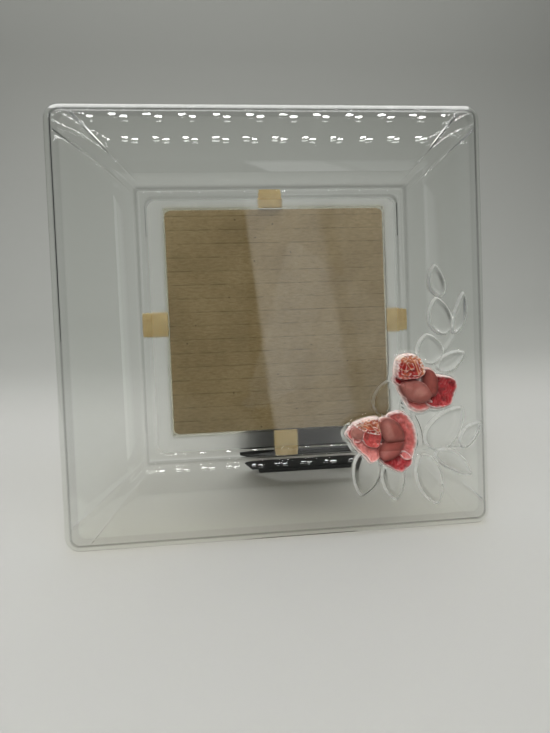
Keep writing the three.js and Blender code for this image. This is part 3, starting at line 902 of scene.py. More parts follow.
@dataclass(frozen=True)
class CloudedFinish(Finish):
    """A material whose colour or gloss drifts from patch to patch.

    Args:
        patch: size of a patch.
        detail: how ragged the patches are.
        stops: colours over the pattern, if it has more than one.
        gloss: span of the pattern and of the roughness over it, if it drifts.
        upright: whether the pattern leans with the face.
        grain: size of a moulded grain, or 0 for none.
        plain: what is the same all over, by the shader's socket.
    """

    patch: float = 1.0
    detail: float = 4.0
    stops: Stops = ()
    gloss: Span = ()
    upright: bool = False
    grain: float = 0.0
    grain_depth: float = 0.03
    grain_strength: float = 0.6
    plain: Constants = ()

    def surface(self, tree: Tree) -> Socket:
        """Adds the shader with its patches and grain.

        Args:
            tree: the material's tree.

        Returns:
            Its shader.
        """
        looks = dict(self.plain)
        place = face_coordinates(tree) if self.upright else add_node(tree, "TexCoord", out="Object")
        patches = {"Vector": place, "Scale": per_mm(self.patch), "Detail": self.detail}
        cloud = add_node(tree, "TexNoise", patches)
        if self.stops:
            looks["Base Color"] = add_node(tree, "ValToRGB", {"Fac": cloud}, stops=self.stops)
        if self.gloss:
            looks["Roughness"] = add_node(tree, "MapRange", {"Value": cloud, **dict(zip(SPAN, self.gloss))})
        if self.grain:
            grains = add_node(tree, "TexNoise", {"Vector": place, "Scale": per_mm(self.grain), "Detail": 1.0})
            sparked = {"Height": grains, "Strength": self.grain_strength, "Distance": self.grain_depth * MM}
            looks["Normal"] = add_node(tree, "Bump", sparked)
        return add_node(tree, "BsdfPrincipled", looks)


@dataclass(frozen=True)
class YellowedPad(CloudedFinish):
    """Clear acrylic-foam bonding pad, yellowed with age.

    The eye sees a honey-coloured, cloudy pad with darker and paler patches.
    """

    name: str = "bonding_pad_yellowed"
    patch: float = 2.8
    detail: float = 3.0
    stops: Stops = ((0.35, "#DCC896"), (0.75, "#C0A46C"))
    upright: bool = True
    plain: Constants = (("Roughness", 0.32), ("IOR", 1.47), ("Transmission Weight", 0.45))


@dataclass(frozen=True)
class FlutePaper(CloudedFinish):
    """Rough recycled fluting paper, darker and more open than the liners."""

    name: str = "fluting_paper"
    patch: float = 0.8
    stops: Stops = ((0.3, "#67583F"), (0.65, "#8A7A5C"))
    upright: bool = True
    plain: Constants = (("Roughness", 0.92),)


@dataclass(frozen=True)
class MouldedBlack(CloudedFinish):
    """Injection-moulded black polypropylene with a fine sparked texture.

    The eye sees a deep grey-black with a satin sheen and tiny even grain.
    """

    name: str = "polypropylene_black"
    patch: float = 9.0
    detail: float = 3.0
    stops: Stops = ((0.45, "#08090A"), (0.75, "#141617"))
    gloss: Span = (0.0, 1.0, 0.34, 0.5)
    grain: float = 0.5
    plain: Constants = (("IOR", 1.49),)


@dataclass(frozen=True)
class BrightSteel(CloudedFinish):
    """Drawn bright steel wire and rivet heads, with fine turning marks."""

    name: str = "bright_drawn_steel"
    patch: float = 0.25
    detail: float = 2.0
    gloss: Span = (0.0, 1.0, 0.2, 0.42)
    plain: Constants = (("Base Color", "#B9BBBC"), ("Metallic", 1.0))


@dataclass(frozen=True)
class BlackRubber(CloudedFinish):
    """Moulded black rubber, dull and a little dusty."""

    name: str = "rubber_moulded_black"
    patch: float = 1.4
    stops: Stops = ((0.5, "#1E1F20"), (0.85, "#3A3A39"))
    plain: Constants = (("Roughness", 0.82),)


@dataclass(frozen=True)
class GraduatedPaper(Finish):
    """Matte background paper, pale at the front and grey toward the back."""

    name: str = "graduated_paper"
    pale: str = "#ABABA7"
    grey: str = "#969792"
    fade: Span = (0.14, 0.3)
    roughness: float = 0.8

    def surface(self, tree: Tree) -> Socket:
        """Adds the graded paper.

        Args:
            tree: the material's tree.

        Returns:
            Its shader.
        """
        place = add_node(tree, "TexCoord", out="Object")
        depth = add_node(tree, "SeparateXYZ", {"Vector": place}, "Y")
        limits = {"Value": depth, **dict(zip(SPAN, self.fade))}
        far_share = add_node(tree, "MapRange", limits, interpolation_type="SMOOTHSTEP")
        colour = add_node(tree, "Mix", {0: far_share, 6: self.pale, 7: self.grey}, **MIXED)
        return add_node(tree, "BsdfPrincipled", {"Base Color": colour, "Roughness": self.roughness})


@dataclass(frozen=True)
class GradedGlow(Finish):
    """A glowing card, whose light changes across its width in metres."""

    name: str = "graded_glow"
    width: Pair = (0.04, 0.75)
    slant: float = -0.073
    levels: tuple[Pair, ...] = (
        (0.094, 0.0),
        (0.106, 0.9),
        (0.268, 0.85),
        (0.285, 0.42),
        (0.305, 0.4),
        (0.318, 0.58),
        (0.6, 0.4),
        (0.7, 0.0),
    )

    def surface(self, tree: Tree) -> Socket:
        """Adds the graded light.

        Args:
            tree: the material's tree.

        Returns:
            Its shader.
        """
        left, right = self.width
        place = add_node(tree, "TexCoord", out="Object")
        slanted = add_node(tree, "Mapping", {"Vector": place, "Rotation": (0.0, -self.slant, 0.0)})
        sideways = add_node(tree, "SeparateXYZ", {"Vector": slanted}, "X")
        across = add_node(tree, "MapRange", {"Value": sideways, **dict(zip(SPAN, self.width))})
        stops = [((x - left) / (right - left), (level, level, level, 1.0)) for x, level in self.levels]
        glow = add_node(tree, "ValToRGB", {"Fac": across}, stops=stops)
        return add_node(tree, "Emission", {"Color": glow, "Strength": 1.0})


@dataclass(frozen=True)
class WhiteDiodes(Finish):
    """Small bright white lamps."""

    name: str = "white_diodes"
    glow: float = 40.0

    def surface(self, tree: Tree) -> Socket:
        """Adds the even white light."""
        return add_node(tree, "Emission", {"Color": "#FFFFFF", "Strength": self.glow})


# Glass plate and its relief


@dataclass(frozen=True)
class LeafPlan:
    """A pressed leaf or stem, in hundredths of the moulding's width from the window's corner."""

    base: Pair
    tip: Pair
    width: float
    bend: float = 0.0


@dataclass(frozen=True)
class PetalPlan:
    """A petal of a bloom.

    Args:
        outline: corners of its smooth outline, u and v in turn, in hundredths of the spread.
        height: its height as a share of the bloom's.
        tone: how it is finished.
        vein_deg: the way that its veins run.
        milky: how milky it is; on a satin petal it also sets its painted highlight.
        rim: width of its pale rim.
    """

    outline: tuple[int, ...]
    height: float
    tone: Tone
    vein_deg: float = 90.0
    milky: float = 0.3
    rim: float = 1.3


@dataclass(frozen=True)
class RosePlan:
    """A bloom.

    Args:
        name: the node that it stands for.
        centre: its place in hundredths of the moulding's width from the window's corner.
        spread: its reach in the same measure.
        petals: its petals, from the lowest up.
        threads: ends and middle of each gold thread, u and v in turn, in hundredths of the spread.
    """

    name: str
    centre: Pair
    spread: float
    petals: tuple[PetalPlan, ...]
    threads: tuple[tuple[int, ...], ...]


LEAVES = [
    LeafPlan((37, 177.5), (30, 215), 21, 0.04),
    LeafPlan((42, 133), (30.5, 177), 30, 0.03),
    LeafPlan((52, 133.5), (66.5, 183), 18.5, -0.05),
    LeafPlan((24, 98.5), (18.5, 135), 31.5, -0.03),
    LeafPlan((30, 92.5), (66.5, 111), 22),
    LeafPlan((17.5, 1.5), (61.5, 46.5), 38.5),
    LeafPlan((57, 0), (88.5, 26), 22, 0.05),
    LeafPlan((25, -3.5), (71, -35), 22.5, 0.04),
    LeafPlan((10, -7), (28, -68), 32, -0.02),
    LeafPlan((-28, -9.5), (-23, -59), 28.5, -0.02),
    LeafPlan((-54.5, -1), (-65, -51), 33, 0.02),
    LeafPlan((-28, 37.5), (-25, 81.5), 34, 0.03),
]
STEMS = [
    LeafPlan((6, -0.5), (60, 0.5), 5.5, 0.05),
    LeafPlan((35.5, 112), (53.5, 137), 5.5, -0.08),
    LeafPlan((-8, 52), (10, 2.5), 7.0, 0.1),
]
UPPER_ROSE = RosePlan(
    "rose_upper",
    (17.5, 81),
    40,
    (
        PetalPlan(
            (10, 10, 51, 10, 78, -2, 84, -23, 72, -52, 62, -75, 31, -83, 2, -80, -16, -60, -5, -28),
            0.56, Tone.DEEP, 75.0,
        ),
        PetalPlan(
            (-66, -47, -38, -45, -3, -50, 10, -72, -10, -89, -31, -92, -53, -77),
            0.5, Tone.BLUSH, 80.0, rim=2.0,
        ),
        PetalPlan((-90, 16, -72, 28, -41, 22, -28, 6, -41, -11, -73, -18, -94, -3), 0.54, Tone.DEEP, 10.0),
        PetalPlan(
            (-16, 14, -11, 31, 8, 30, 23, 9, 26, -20, 18, -46, -3, -48, -16, -19),
            0.74, Tone.SATIN, milky=0.1,
        ),
        PetalPlan(
            (-81, -13, -60, -1, -30, 1, -12, -10, 6, -39, -2, -60, -27, -69, -52, -61, -73, -39),
            0.84, Tone.SATIN, milky=0.6,
        ),
        PetalPlan(
            (-90, 16, -87, 47, -80, 66, -61, 76, -37, 75, -22, 64, -14, 43, -11, 21, -26, 5, -51, 1,
             -78, 3),
            0.95, Tone.BUD,
        ),
    ),
    (
        (-38, 72, -20, 55, -17, 20),
        (-48, 70, -34, 50, -30, 12),
        (-72, 68, -60, 50, -45, 28),
        (-80, 34, -60, 24, -42, 36),
        (-84, 60, -70, 74, -58, 62),
    ),
)
LOWER_ROSE = RosePlan(
    "rose_lower",
    (-38.5, 7.5),
    42.5,
    (
        PetalPlan(
            (22, 76, 58, 87, 85, 66, 97, 30, 97, -9, 80, -41, 55, -43, 42, -14, 45, 39),
            0.56, Tone.BLUSH, 12.0, rim=1.5,
        ),
        PetalPlan(
            (-7, -41, 32, -25, 62, -20, 79, -33, 79, -52, 57, -70, 40, -75, 13, -60),
            0.52, Tone.DEEP, 70.0,
        ),
        PetalPlan(
            (-82, 29, -60, 22, -40, 9, -18, 5, 5, 3, -1, -26, -20, -43, -36, -46, -47, -31, -62, -17,
             -78, 3),
            0.58, Tone.BLUSH, 60.0, milky=0.7,
        ),
        PetalPlan((-96, 32, -78, 54, -50, 62, -43, 29, -60, 6, -81, 12), 0.56, Tone.BLUSH, 20.0, milky=0.5),
        PetalPlan((-75, 57, -58, 66, -30, 73, -2, 71, 6, 46, 0, 26, -28, 28, -59, 41), 0.82, Tone.BUD),
        PetalPlan(
            (-46, 41, -23, 51, -2, 38, 1, 7, -17, -10, -43, -2, -53, 18),
            0.72, Tone.BLUSH, 110.0, milky=0.1, rim=0.7,
        ),
        PetalPlan(
            (-6, -4, 12, 10, 40, 12, 65, 7, 54, -22, 28, -39, 0, -44, -12, -32),
            0.86, Tone.SATIN, milky=0.05,
        ),
        PetalPlan((-5, 58, 14, 73, 42, 65, 62, 39, 66, 10, 48, 3, 14, 3, 0, 23), 0.95, Tone.SATIN, milky=0.4),
        PetalPlan(
            (-85, 35, -78, 49, -62, 53, -47, 44, -43, 29, -53, 16, -70, 16, -82, 23),
            0.76, Tone.SATIN, milky=1.5,
        ),
    ),
    (
        (-64, 60, -50, 52, -42, 34),
        (-44, 68, -26, 56, -12, 30),
        (-25, 71, -10, 60, -2, 36),
        (-70, 55, -52, 62, -36, 50),
    ),
)


@dataclass
class GlassPlate:
    """The pressed glass plate with its arched moulding, window and leaf relief."""

    half: float = 101.6
    corner: float = 7.0
    chamfer: float = 0.8
    edge_height: float = 2.6
    bevel_width: float = 3.5
    bevel_rise: float = 3.6
    bevel_bulge: float = 0.2
    bevel_rows: int = 8
    ridge_share: float = 0.7
    ridge_height: float = 11.5
    ridge_corner: float = 1.4
    crease_corner: float = 3.8
    thickness: float = 4.8
    card_half: float = 51.9
    card_half_width: float = 51.4
    card_shift: Pair = (1.2, 1.9)
    card_border: float = 9.6
    window_corner: float = 1.0
    ledge_height: float = 6.5
    ledge_width: float = 2.8
    ledge_drop: float = 0.7
    ledge_bevel: float = 0.7
    pane_thickness: float = 4.2
    pane_corner: float = 4.0
    pane_inner: float = 42.0
    crease: float = 0.35
    relief_step: float = 0.46
    pane_step: float = 0.5
    leaf_rim: float = 1.45
    leaf_wall: float = 0.6
    leaf_hollow: float = 1.0
    leaf_vein: float = 0.12
    leaf_satin: float = 0.27
    leaf_frost: float = 0.85
    polish: float = 0.01
    ring_satin: float = 0.5
    ring_margin: float = 0.8
    ring_from: float = 49.5
    ring_to: float = 57.6
    rim_quirk: Triple = (0.5, 0.45, 0.5)
    window_quirk: Triple = (-0.5, 0.95, 0.7)
    mitre_share: float = 0.04
    mitre_width: float = 0.007
    mitre_depth: float = 0.75
    # Painted shade on the glass front, in place of dark refracted lines: a grey band and line along the rim's
    # crease and a line at the foot of the inner wall
    rim_band: float = 4.6
    tone_line: float = 0.6
    band_painted_shade: float = 0.22
    line_painted_shade: float = 0.42
    foot_painted_shade: float = 0.36
    collar: float = 1.2
    collar_offset: float = 0.8
    collar_width: float = 0.6
    relief_left: float = 20.0
    relief_top: float = 32.0
    relief_reach: float = 78.0
    relief_up: float = 0.36
    relief_along: float = 0.31
    fan_from: float = 0.9
    fan_columns: int = 9
    side_columns: tuple[int, int, int] = (6, 10, 13)
    mitre_fade: Pair = (4.0, 2.0)
    vein_fade: Pair = (0.8, 2.0)
    band_fade: float = 0.8
    band_end: Pair = (1.2, 0.2)
    corner_facets: int = 10
    hollow_steps: Pair = (1.6, 2.2)
    ring_rows: int = 16
    ledge_rows: int = 6
    leaf_shape: Pair = (0.5, 0.72)
    leaf_steepest: float = 6.0
    hollow_width: float = 3.0
    vein_width: float = 0.55
    stem_taper: float = 0.4
    tone_least: float = 0.2
    roses: tuple[RosePlan, ...] = (LOWER_ROSE, UPPER_ROSE)

    def __post_init__(self) -> None:
        """Works out the sizes that follow from the others."""
        self.window_half = self.card_half + self.card_border
        self.moulding = self.half - self.window_half
        self.ridge_half = self.half - self.ridge_share * self.moulding
        self.unit = self.moulding / PER_CENT
        self.pane_front = self.ledge_height - self.ledge_drop
        self.pane_back = self.pane_front - self.pane_thickness
        self.rim_crease = (self.half - self.bevel_width, self.edge_height + self.bevel_rise)
        self.outer_radius = self.arch_radius(*self.rim_crease)
        self.inner_radius = self.arch_radius(self.window_half, self.ledge_height)

    def arch_radius(self, foot: float, height: float) -> float:
        """Radius of the arch from the ridge down to a foot."""
        run, drop = foot - self.ridge_half, self.ridge_height - height
        return (run * run + drop * drop) / (2.0 * drop)

    def from_corner(self, place: Pair) -> Pair:
        """A face point given in relief units from the window's lower right corner."""
        return self.window_half + place[0] * self.unit, place[1] * self.unit - self.window_half

    def arch(self, radius: float, inset: float, start: float, end: float, step: float) -> Points:
        """Points on an arch about the ridge, from one distance to another.

        Args:
            radius: radius of the front face of the arch.
            inset: depth of the wanted skin under that face.
            start: first distance from the centre of the face.
            end: last distance.
            step: spacing of the points.

        Returns:
            Rows of distance and height.
        """
        skin = radius - inset
        angles = [math.asin((d - self.ridge_half) / skin) for d in (start, end)]
        count = max(2, int(abs(angles[1] - angles[0]) * skin / step) + 1)
        turn = np.linspace(angles[0], angles[1], count + 1)
        rise = self.ridge_height - radius + skin * np.cos(turn)
        return np.stack([self.ridge_half + skin * np.sin(turn), rise], axis=1)

    @staticmethod
    def line(start: Pair, end: Pair, count: int) -> Points:
        """Evenly spaced points from start to end."""
        return np.linspace(np.array(start), np.array(end), count + 1)

    def joined(self, segments: list[Points], facets: int) -> Points:
        """Joins path segments end to end and rounds the creases between them.

        Args:
            segments: paths that each start where the one before ends.
            facets: facets across each rounding.

        Returns:
            One path of distance and height.
        """
        path: list[np.ndarray] = [segments[0][0]]
        for index, segment in enumerate(segments):
            last = index == len(segments) - 1
            trim_in = 0.0 if index == 0 else self.crease
            trim_out = 0.0 if last else self.crease
            reach = path_lengths(segment)
            inside = (reach > trim_in + 0.04) & (reach < reach[-1] - trim_out - 0.04)
            path.extend(segment[inside])
            if last:
                path.append(segment[-1])
                break
            leave = point_along(segment, reach[-1] - trim_out)
            enter = point_along(segments[index + 1], self.crease)
            for t in np.linspace(0.0, 1.0, facets + 1):
                path.append((1 - t) ** 2 * leave + 2 * t * (1 - t) * segment[-1] + t * t * enter)
        return np.array(path)

    def back_profile(self) -> Points:
        """The section's back, from the pane over the hollow to the rim's outer wall.

        Returns:
            Rows of distance and height.
        """
        inner_step, outer_step = self.hollow_steps
        floor = self.ridge_height - self.thickness
        inner_skin = self.inner_radius - self.thickness
        outer_skin = self.outer_radius - self.thickness
        inner_sweep = math.acos(1.0 - (floor - self.pane_back) / inner_skin)
        outer_sweep = math.acos(1.0 - floor / outer_skin)
        inner_foot = self.ridge_half - inner_skin * math.sin(inner_sweep)
        outer_foot = self.ridge_half + outer_skin * math.sin(outer_sweep)
        hollow = np.concatenate(
            [
                self.arch(self.inner_radius, self.thickness, inner_foot, self.ridge_half, inner_step),
                self.arch(self.outer_radius, self.thickness, self.ridge_half, outer_foot, outer_step)[1:],
            ]
        )
        return self.joined(
            [
                self.line((self.pane_inner, self.pane_back), (self.ring_from, self.pane_back), 2),
                self.line((self.ring_from, self.pane_back), (inner_foot, self.pane_back), self.ring_rows),
                hollow,
                self.line((outer_foot, 0.0), (self.half - self.chamfer, 0.0), 2),
                self.line((self.half - self.chamfer, 0.0), (self.half, self.chamfer), 1),
                self.line((self.half, self.chamfer), (self.half, self.edge_height), 1),
            ],
            2,
        )

    def front_profile(self) -> Points:
        """The section's front, from the rim's bevel over the ridge down to the pane.

        Returns:
            Rows of distance and height.
        """
        bevel = self.line((self.half, self.edge_height), self.rim_crease, self.bevel_rows)
        share = np.linspace(0.0, 1.0, self.bevel_rows + 1)
        bevel[:, 1] += self.bevel_bulge * 4.0 * share * (1.0 - share)
        arches = np.concatenate(
            [
                self.arch(self.outer_radius, 0.0, self.rim_crease[0], self.ridge_half, self.relief_step),
                self.arch(self.inner_radius, 0.0, self.ridge_half, self.window_half, self.relief_step)[1:],
            ]
        )
        ledge, ledge_end = self.ledge_height, self.window_half - self.ledge_width
        step_end = ledge_end - self.ledge_bevel
        pane_rows = int((step_end - self.pane_inner) / self.pane_step)
        return self.joined(
            [
                bevel,
                arches,
                self.line((self.window_half, ledge), (ledge_end, ledge), self.ledge_rows),
                self.line((ledge_end, ledge), (step_end, self.pane_front), 1),
                self.line((step_end, self.pane_front), (self.pane_inner, self.pane_front), pane_rows),
            ],
            3,
        )

    def corner_radius(self, distance: Points) -> Points:
        """Corner radius of the ring at each distance, which draws the mitre fans.

        Args:
            distance: distances from the centre of the face.

        Returns:
            The radius at each of them.
        """
        corners = {
            self.pane_inner: self.pane_corner,
            self.window_half - self.ledge_width: self.pane_corner,
            self.window_half: self.window_corner,
            self.ridge_half: self.ridge_corner,
            self.rim_crease[0]: self.crease_corner,
            self.half: self.corner,
        }
        return np.interp(distance, list(corners), list(corners.values()))

    def perimeter(self) -> tuple[Points, Points]:
        """Ring samples as centres on a unit square and outward directions.

        Returns:
            Two arrays: a ring of half size d and corner radius r has its points
            at centres times (d - r) plus directions times r.
        """
        dense = self.relief_step / self.relief_reach
        up, along = self.relief_up, self.relief_along
        fan = 1.0 - self.mitre_share + self.mitre_width * np.linspace(-2.0, 2.0, self.fan_columns)
        start = [-1.0, *-fan[::-1]]
        beside, (few, some, many) = self.fan_from, self.side_columns
        right = np.concatenate([np.arange(-1.0, up, dense), np.linspace(up, beside, few), fan, [1.0]])
        end = np.arange(along + 0.01, 1.0, dense)
        low = np.concatenate([start, np.linspace(-beside, along, some), end, [1.0]])
        even = np.concatenate([start, np.linspace(-beside, beside, many), fan, [1.0]])
        centres: list[Pair] = []
        directions: list[Pair] = []
        sides = [
            ((1, 0), (0, 1), right),
            ((0, 1), (-1, 0), even),
            ((-1, 0), (0, -1), even),
            ((0, -1), (1, 0), low),
        ]
        for out, way, shares in sides:
            for share in shares:
                centres.append((out[0] + way[0] * share, out[1] + way[1] * share))
                directions.append(out)
            facing = math.atan2(out[1], out[0])
            for turn in np.linspace(0.0, math.pi / 2.0, self.corner_facets)[1:-1]:
                centres.append((out[0] + way[0], out[1] + way[1]))
                directions.append((math.cos(facing + turn), math.sin(facing + turn)))
        return np.array(centres), np.array(directions)

    def quirks(self, distance: Points, centres: Points) -> Points:
        """Depth of the moulded grooves, which draw dark and bright lines in the glass.

        Args:
            distance: each row's distance from the centre of the face.
            centres: each column's centre on a unit square.

        Returns:
            Depth inside the rim's bevel, around the window and along the mitres.
        """
        depth = np.zeros((len(distance), len(centres)))
        for place, (inset, deep, wide) in (
            (self.rim_crease[0], self.rim_quirk),
            (self.window_half, self.window_quirk),
        ):
            depth += deep * bell(distance - place + inset, wide)[:, None]
        beside = 1.0 - np.abs(centres).min(axis=1)
        fan = bell(beside - self.mitre_share, self.mitre_width)
        inner, outer = self.mitre_fade
        along = smoothstep(self.window_half, self.ridge_half + inner, distance)
        along *= smoothstep(self.rim_crease[0], self.rim_crease[0] - outer, distance)
        return depth + self.mitre_depth * along[:, None] * fan

    def leaf_place(self, leaf: LeafPlan, u: Points, v: Points) -> tuple[Points, Points, float]:
        """Where points lie along and across a leaf's bent midrib.

        Args:
            leaf: the leaf's plan.
            u, v: distances across and up the face.

        Returns:
            The share of its length, the distance from the midrib and its length.
        """
        base, tip = np.array(self.from_corner(leaf.base)), np.array(self.from_corner(leaf.tip))
        length = float(np.linalg.norm(tip - base))
        axis = (tip - base) / length
        du, dv = u - base[0], v - base[1]
        t = (du * axis[0] + dv * axis[1]) / length
        inside = np.clip(t, 0.0, 1.0)
        across = -du * axis[1] + dv * axis[0] - leaf.bend * length * 4.0 * inside * (1.0 - inside)
        return t, across, length

    def leaf_depth(self, leaf: LeafPlan, u: Points, v: Points) -> tuple[Points, Points]:
        """How far points lie inside a leaf's outline and off its midrib.

        Args:
            leaf: the leaf's plan.
            u, v: distances across and up the face.

        Returns:
            Depth inside the outline, negative outside, and distance from the midrib.
        """
        t, across, length = self.leaf_place(leaf, u, v)
        inside = np.clip(t, 1e-4, 1.0 - 1e-4)
        fore, aft = self.leaf_shape
        peak = (fore / (fore + aft)) ** fore * (aft / (fore + aft)) ** aft
        outline = leaf.width * self.unit / 2.0 * inside**fore * (1.0 - inside) ** aft / peak
        slope = outline * (fore / inside - aft / (1.0 - inside)) / length
        depth = (outline - np.abs(across)) / np.sqrt(1.0 + np.minimum(slope * slope, self.leaf_steepest))
        return np.where((t < 0.0) | (t > 1.0), -1.0, depth), across

    def leaf_height(self, leaf: LeafPlan, u: Points, v: Points) -> Points:
        """Height of one leaf over the glass: a raised rim, a hollow and a midrib.

        Args:
            leaf: the leaf's plan.
            u, v: distances across and up the face.

        Returns:
            Height in millimetres at each point.
        """
        depth, across = self.leaf_depth(leaf, u, v)
        wall = self.leaf_rim * smoothstep(0.0, self.leaf_wall, depth)
        hollow = self.leaf_hollow * smoothstep(0.8 * self.leaf_wall, self.hollow_width, depth)
        vein = self.leaf_vein * bell(across, self.vein_width) * smoothstep(*self.vein_fade, depth)
        return wall - hollow + vein

    def stem_height(self, stem: LeafPlan, u: Points, v: Points) -> Points:
        """Height of a rounded, tapering stem over the glass.

        Args:
            stem: the stem's plan.
            u, v: distances across and up the face.

        Returns:
            Height in millimetres at each point.
        """
        t, across, _ = self.leaf_place(stem, u, v)
        taper = stem.width * self.unit / 2.0 * (1.0 - self.stem_taper * np.clip(t, 0.0, 1.0))
        return dome(across, taper) * smoothstep(-0.03, 0.04, t) * smoothstep(1.03, 0.96, t)

    def in_relief(self, u: Points, v: Points) -> Points:
        """Which points lie in the corner of the face that has the relief."""
        return (u > self.relief_left) & (v < self.relief_top)

    def relief(self, u: Points, v: Points) -> Points:
        """Height of the leaves, stems and bloom collars over the glass front.

        Args:
            u, v: distances across and up the face.

        Returns:
            Height in millimetres at each point.
        """
        height = np.zeros(np.broadcast(u, v).shape)
        near = self.in_relief(u, v)
        pu, pv = u[near], v[near]
        best = np.zeros(pu.shape)
        for leaf in LEAVES:
            best = np.maximum(best, self.leaf_height(leaf, pu, pv))
        for stem in STEMS:
            best = np.maximum(best, self.stem_height(stem, pu, pv))
        for plan in self.roses:
            reach = Rose(plan, self).outside(pu, pv)
            ring = bell(reach - self.collar_offset, self.collar_width)
            best = np.maximum(best, self.collar * ring)
        height[near] = best
        return height

    def satin(self, u: Points, v: Points) -> Points:
        """Roughness of the glass front: satined on the leaves' faces, frosted on their outlines.

        Args:
            u, v: distances across and up the face.

        Returns:
            Roughness at each point.
        """
        rough = np.full(np.broadcast(u, v).shape, self.polish)
        near = self.in_relief(u, v)
        for leaf in LEAVES:
            depth, _ = self.leaf_depth(leaf, u[near], v[near])
            face = self.leaf_satin * smoothstep(0.6 * self.leaf_wall, 1.6 * self.leaf_wall, depth)
            line = bell(depth - 0.5 * self.leaf_wall, 0.6 * self.leaf_wall)
            rough[near] = np.maximum(rough[near], np.maximum(face, self.leaf_frost * line))
        return rough

    def border_satin(self, u: Points, v: Points) -> Points:
        """Roughness of the pane's back: clear behind the card and satined around it.

        Args:
            u, v: distances across and up the face.

        Returns:
            Roughness at each point.
        """
        across = np.abs(u - self.card_shift[0]) - self.card_half_width
        upright = np.abs(v - self.card_shift[1]) - self.card_half
        share = smoothstep(0.0, self.ring_margin, np.maximum(across, upright))
        return self.polish + (self.ring_satin - self.polish) * share

    def painted_edge_shade(self, distance: Points) -> Points:
        """Painted shade: share of the glass colour kept, less along the rim and the foot of the inner wall.

        Args:
            distance: distances from the centre of the face.

        Returns:
            The share at each of them.
        """
        crease = self.rim_crease[0]
        start, (outer, inner) = crease - self.rim_band, self.band_end
        band = smoothstep(start, start + self.band_fade, distance)
        band *= smoothstep(crease + outer, crease + inner, distance)
        line = bell(distance - crease, self.tone_line)
        foot = bell(distance - self.window_half - self.tone_line, self.tone_line)
        grey = self.band_painted_shade * band + self.line_painted_shade * line + self.foot_painted_shade * foot
        return np.maximum(1.0 - grey, self.tone_least)

    def surface(self, u: Points, v: Points) -> Points:
        """Height of the plain glass front without relief, away from rounded corners.

        Args:
            u, v: distances across and up the face.

        Returns:
            Height in millimetres at each point.
        """
        distance = np.maximum(np.abs(u), np.abs(v))
        run = (distance - self.ridge_half) ** 2
        outer, inner = (
            self.ridge_height - radius + np.sqrt(np.maximum(radius**2 - run, 0.0))
            for radius in (self.outer_radius, self.inner_radius)
        )
        step_end = self.window_half - self.ledge_width - self.ledge_bevel
        flat = np.where(distance > step_end, self.ledge_height, self.pane_front)
        arch = np.where(distance > self.ridge_half, outer, inner)
        return np.where(distance < self.window_half, flat, arch)

    def build(self, material: Material, box: Points) -> None:
        """Makes the glass body as one closed skin.

        Args:
            material: the glass.
            box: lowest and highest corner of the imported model.
        """
        back, front = self.back_profile(), self.front_profile()
        path = np.concatenate([back, front[1:]])
        centres, directions = self.perimeter()
        radius = self.corner_radius(path[:, 0])
        reach = (path[:, 0] - radius)[:, None, None]
        rings = centres[None] * reach + directions[None] * radius[:, None, None]
        u, v = rings[..., 0], rings[..., 1]
        height = np.repeat(path[:, 1][:, None], len(centres), axis=1)
        row = np.arange(len(path))
        faced = row > len(back) + self.bevel_rows // 2
        height[faced] -= self.quirks(path[faced, 0], centres)
        lifted = (row > len(back)) & (path[:, 0] < self.rim_crease[0] - self.crease)
        height[lifted] += self.relief(u[lifted], v[lifted])
        ring = (row < len(back)) & (path[:, 0] < self.ring_to)
        rough = np.full(height.shape, self.polish)
        rough[ring] = self.border_satin(u[ring], v[ring])
        rough[lifted] = self.satin(u[lifted], v[lifted])
        points = FACE.to_row(u, v, height)
        # painted shade on the front rows, carried by the tone attribute
        tone = np.where(row >= len(back), self.painted_edge_shade(path[:, 0]), 1.0)
        layers = {
            "satin": np.repeat(rough[..., None], 3, axis=2),
            "tone": np.broadcast_to(tone[:, None, None], rough.shape + (3,)),
        }
        piece = swept_shell("glass_plate", np.clip(points, box[0], box[1]), layers)
        finish_piece(piece, Body.FRAME, Slot.GLASS, material, "glass_body")


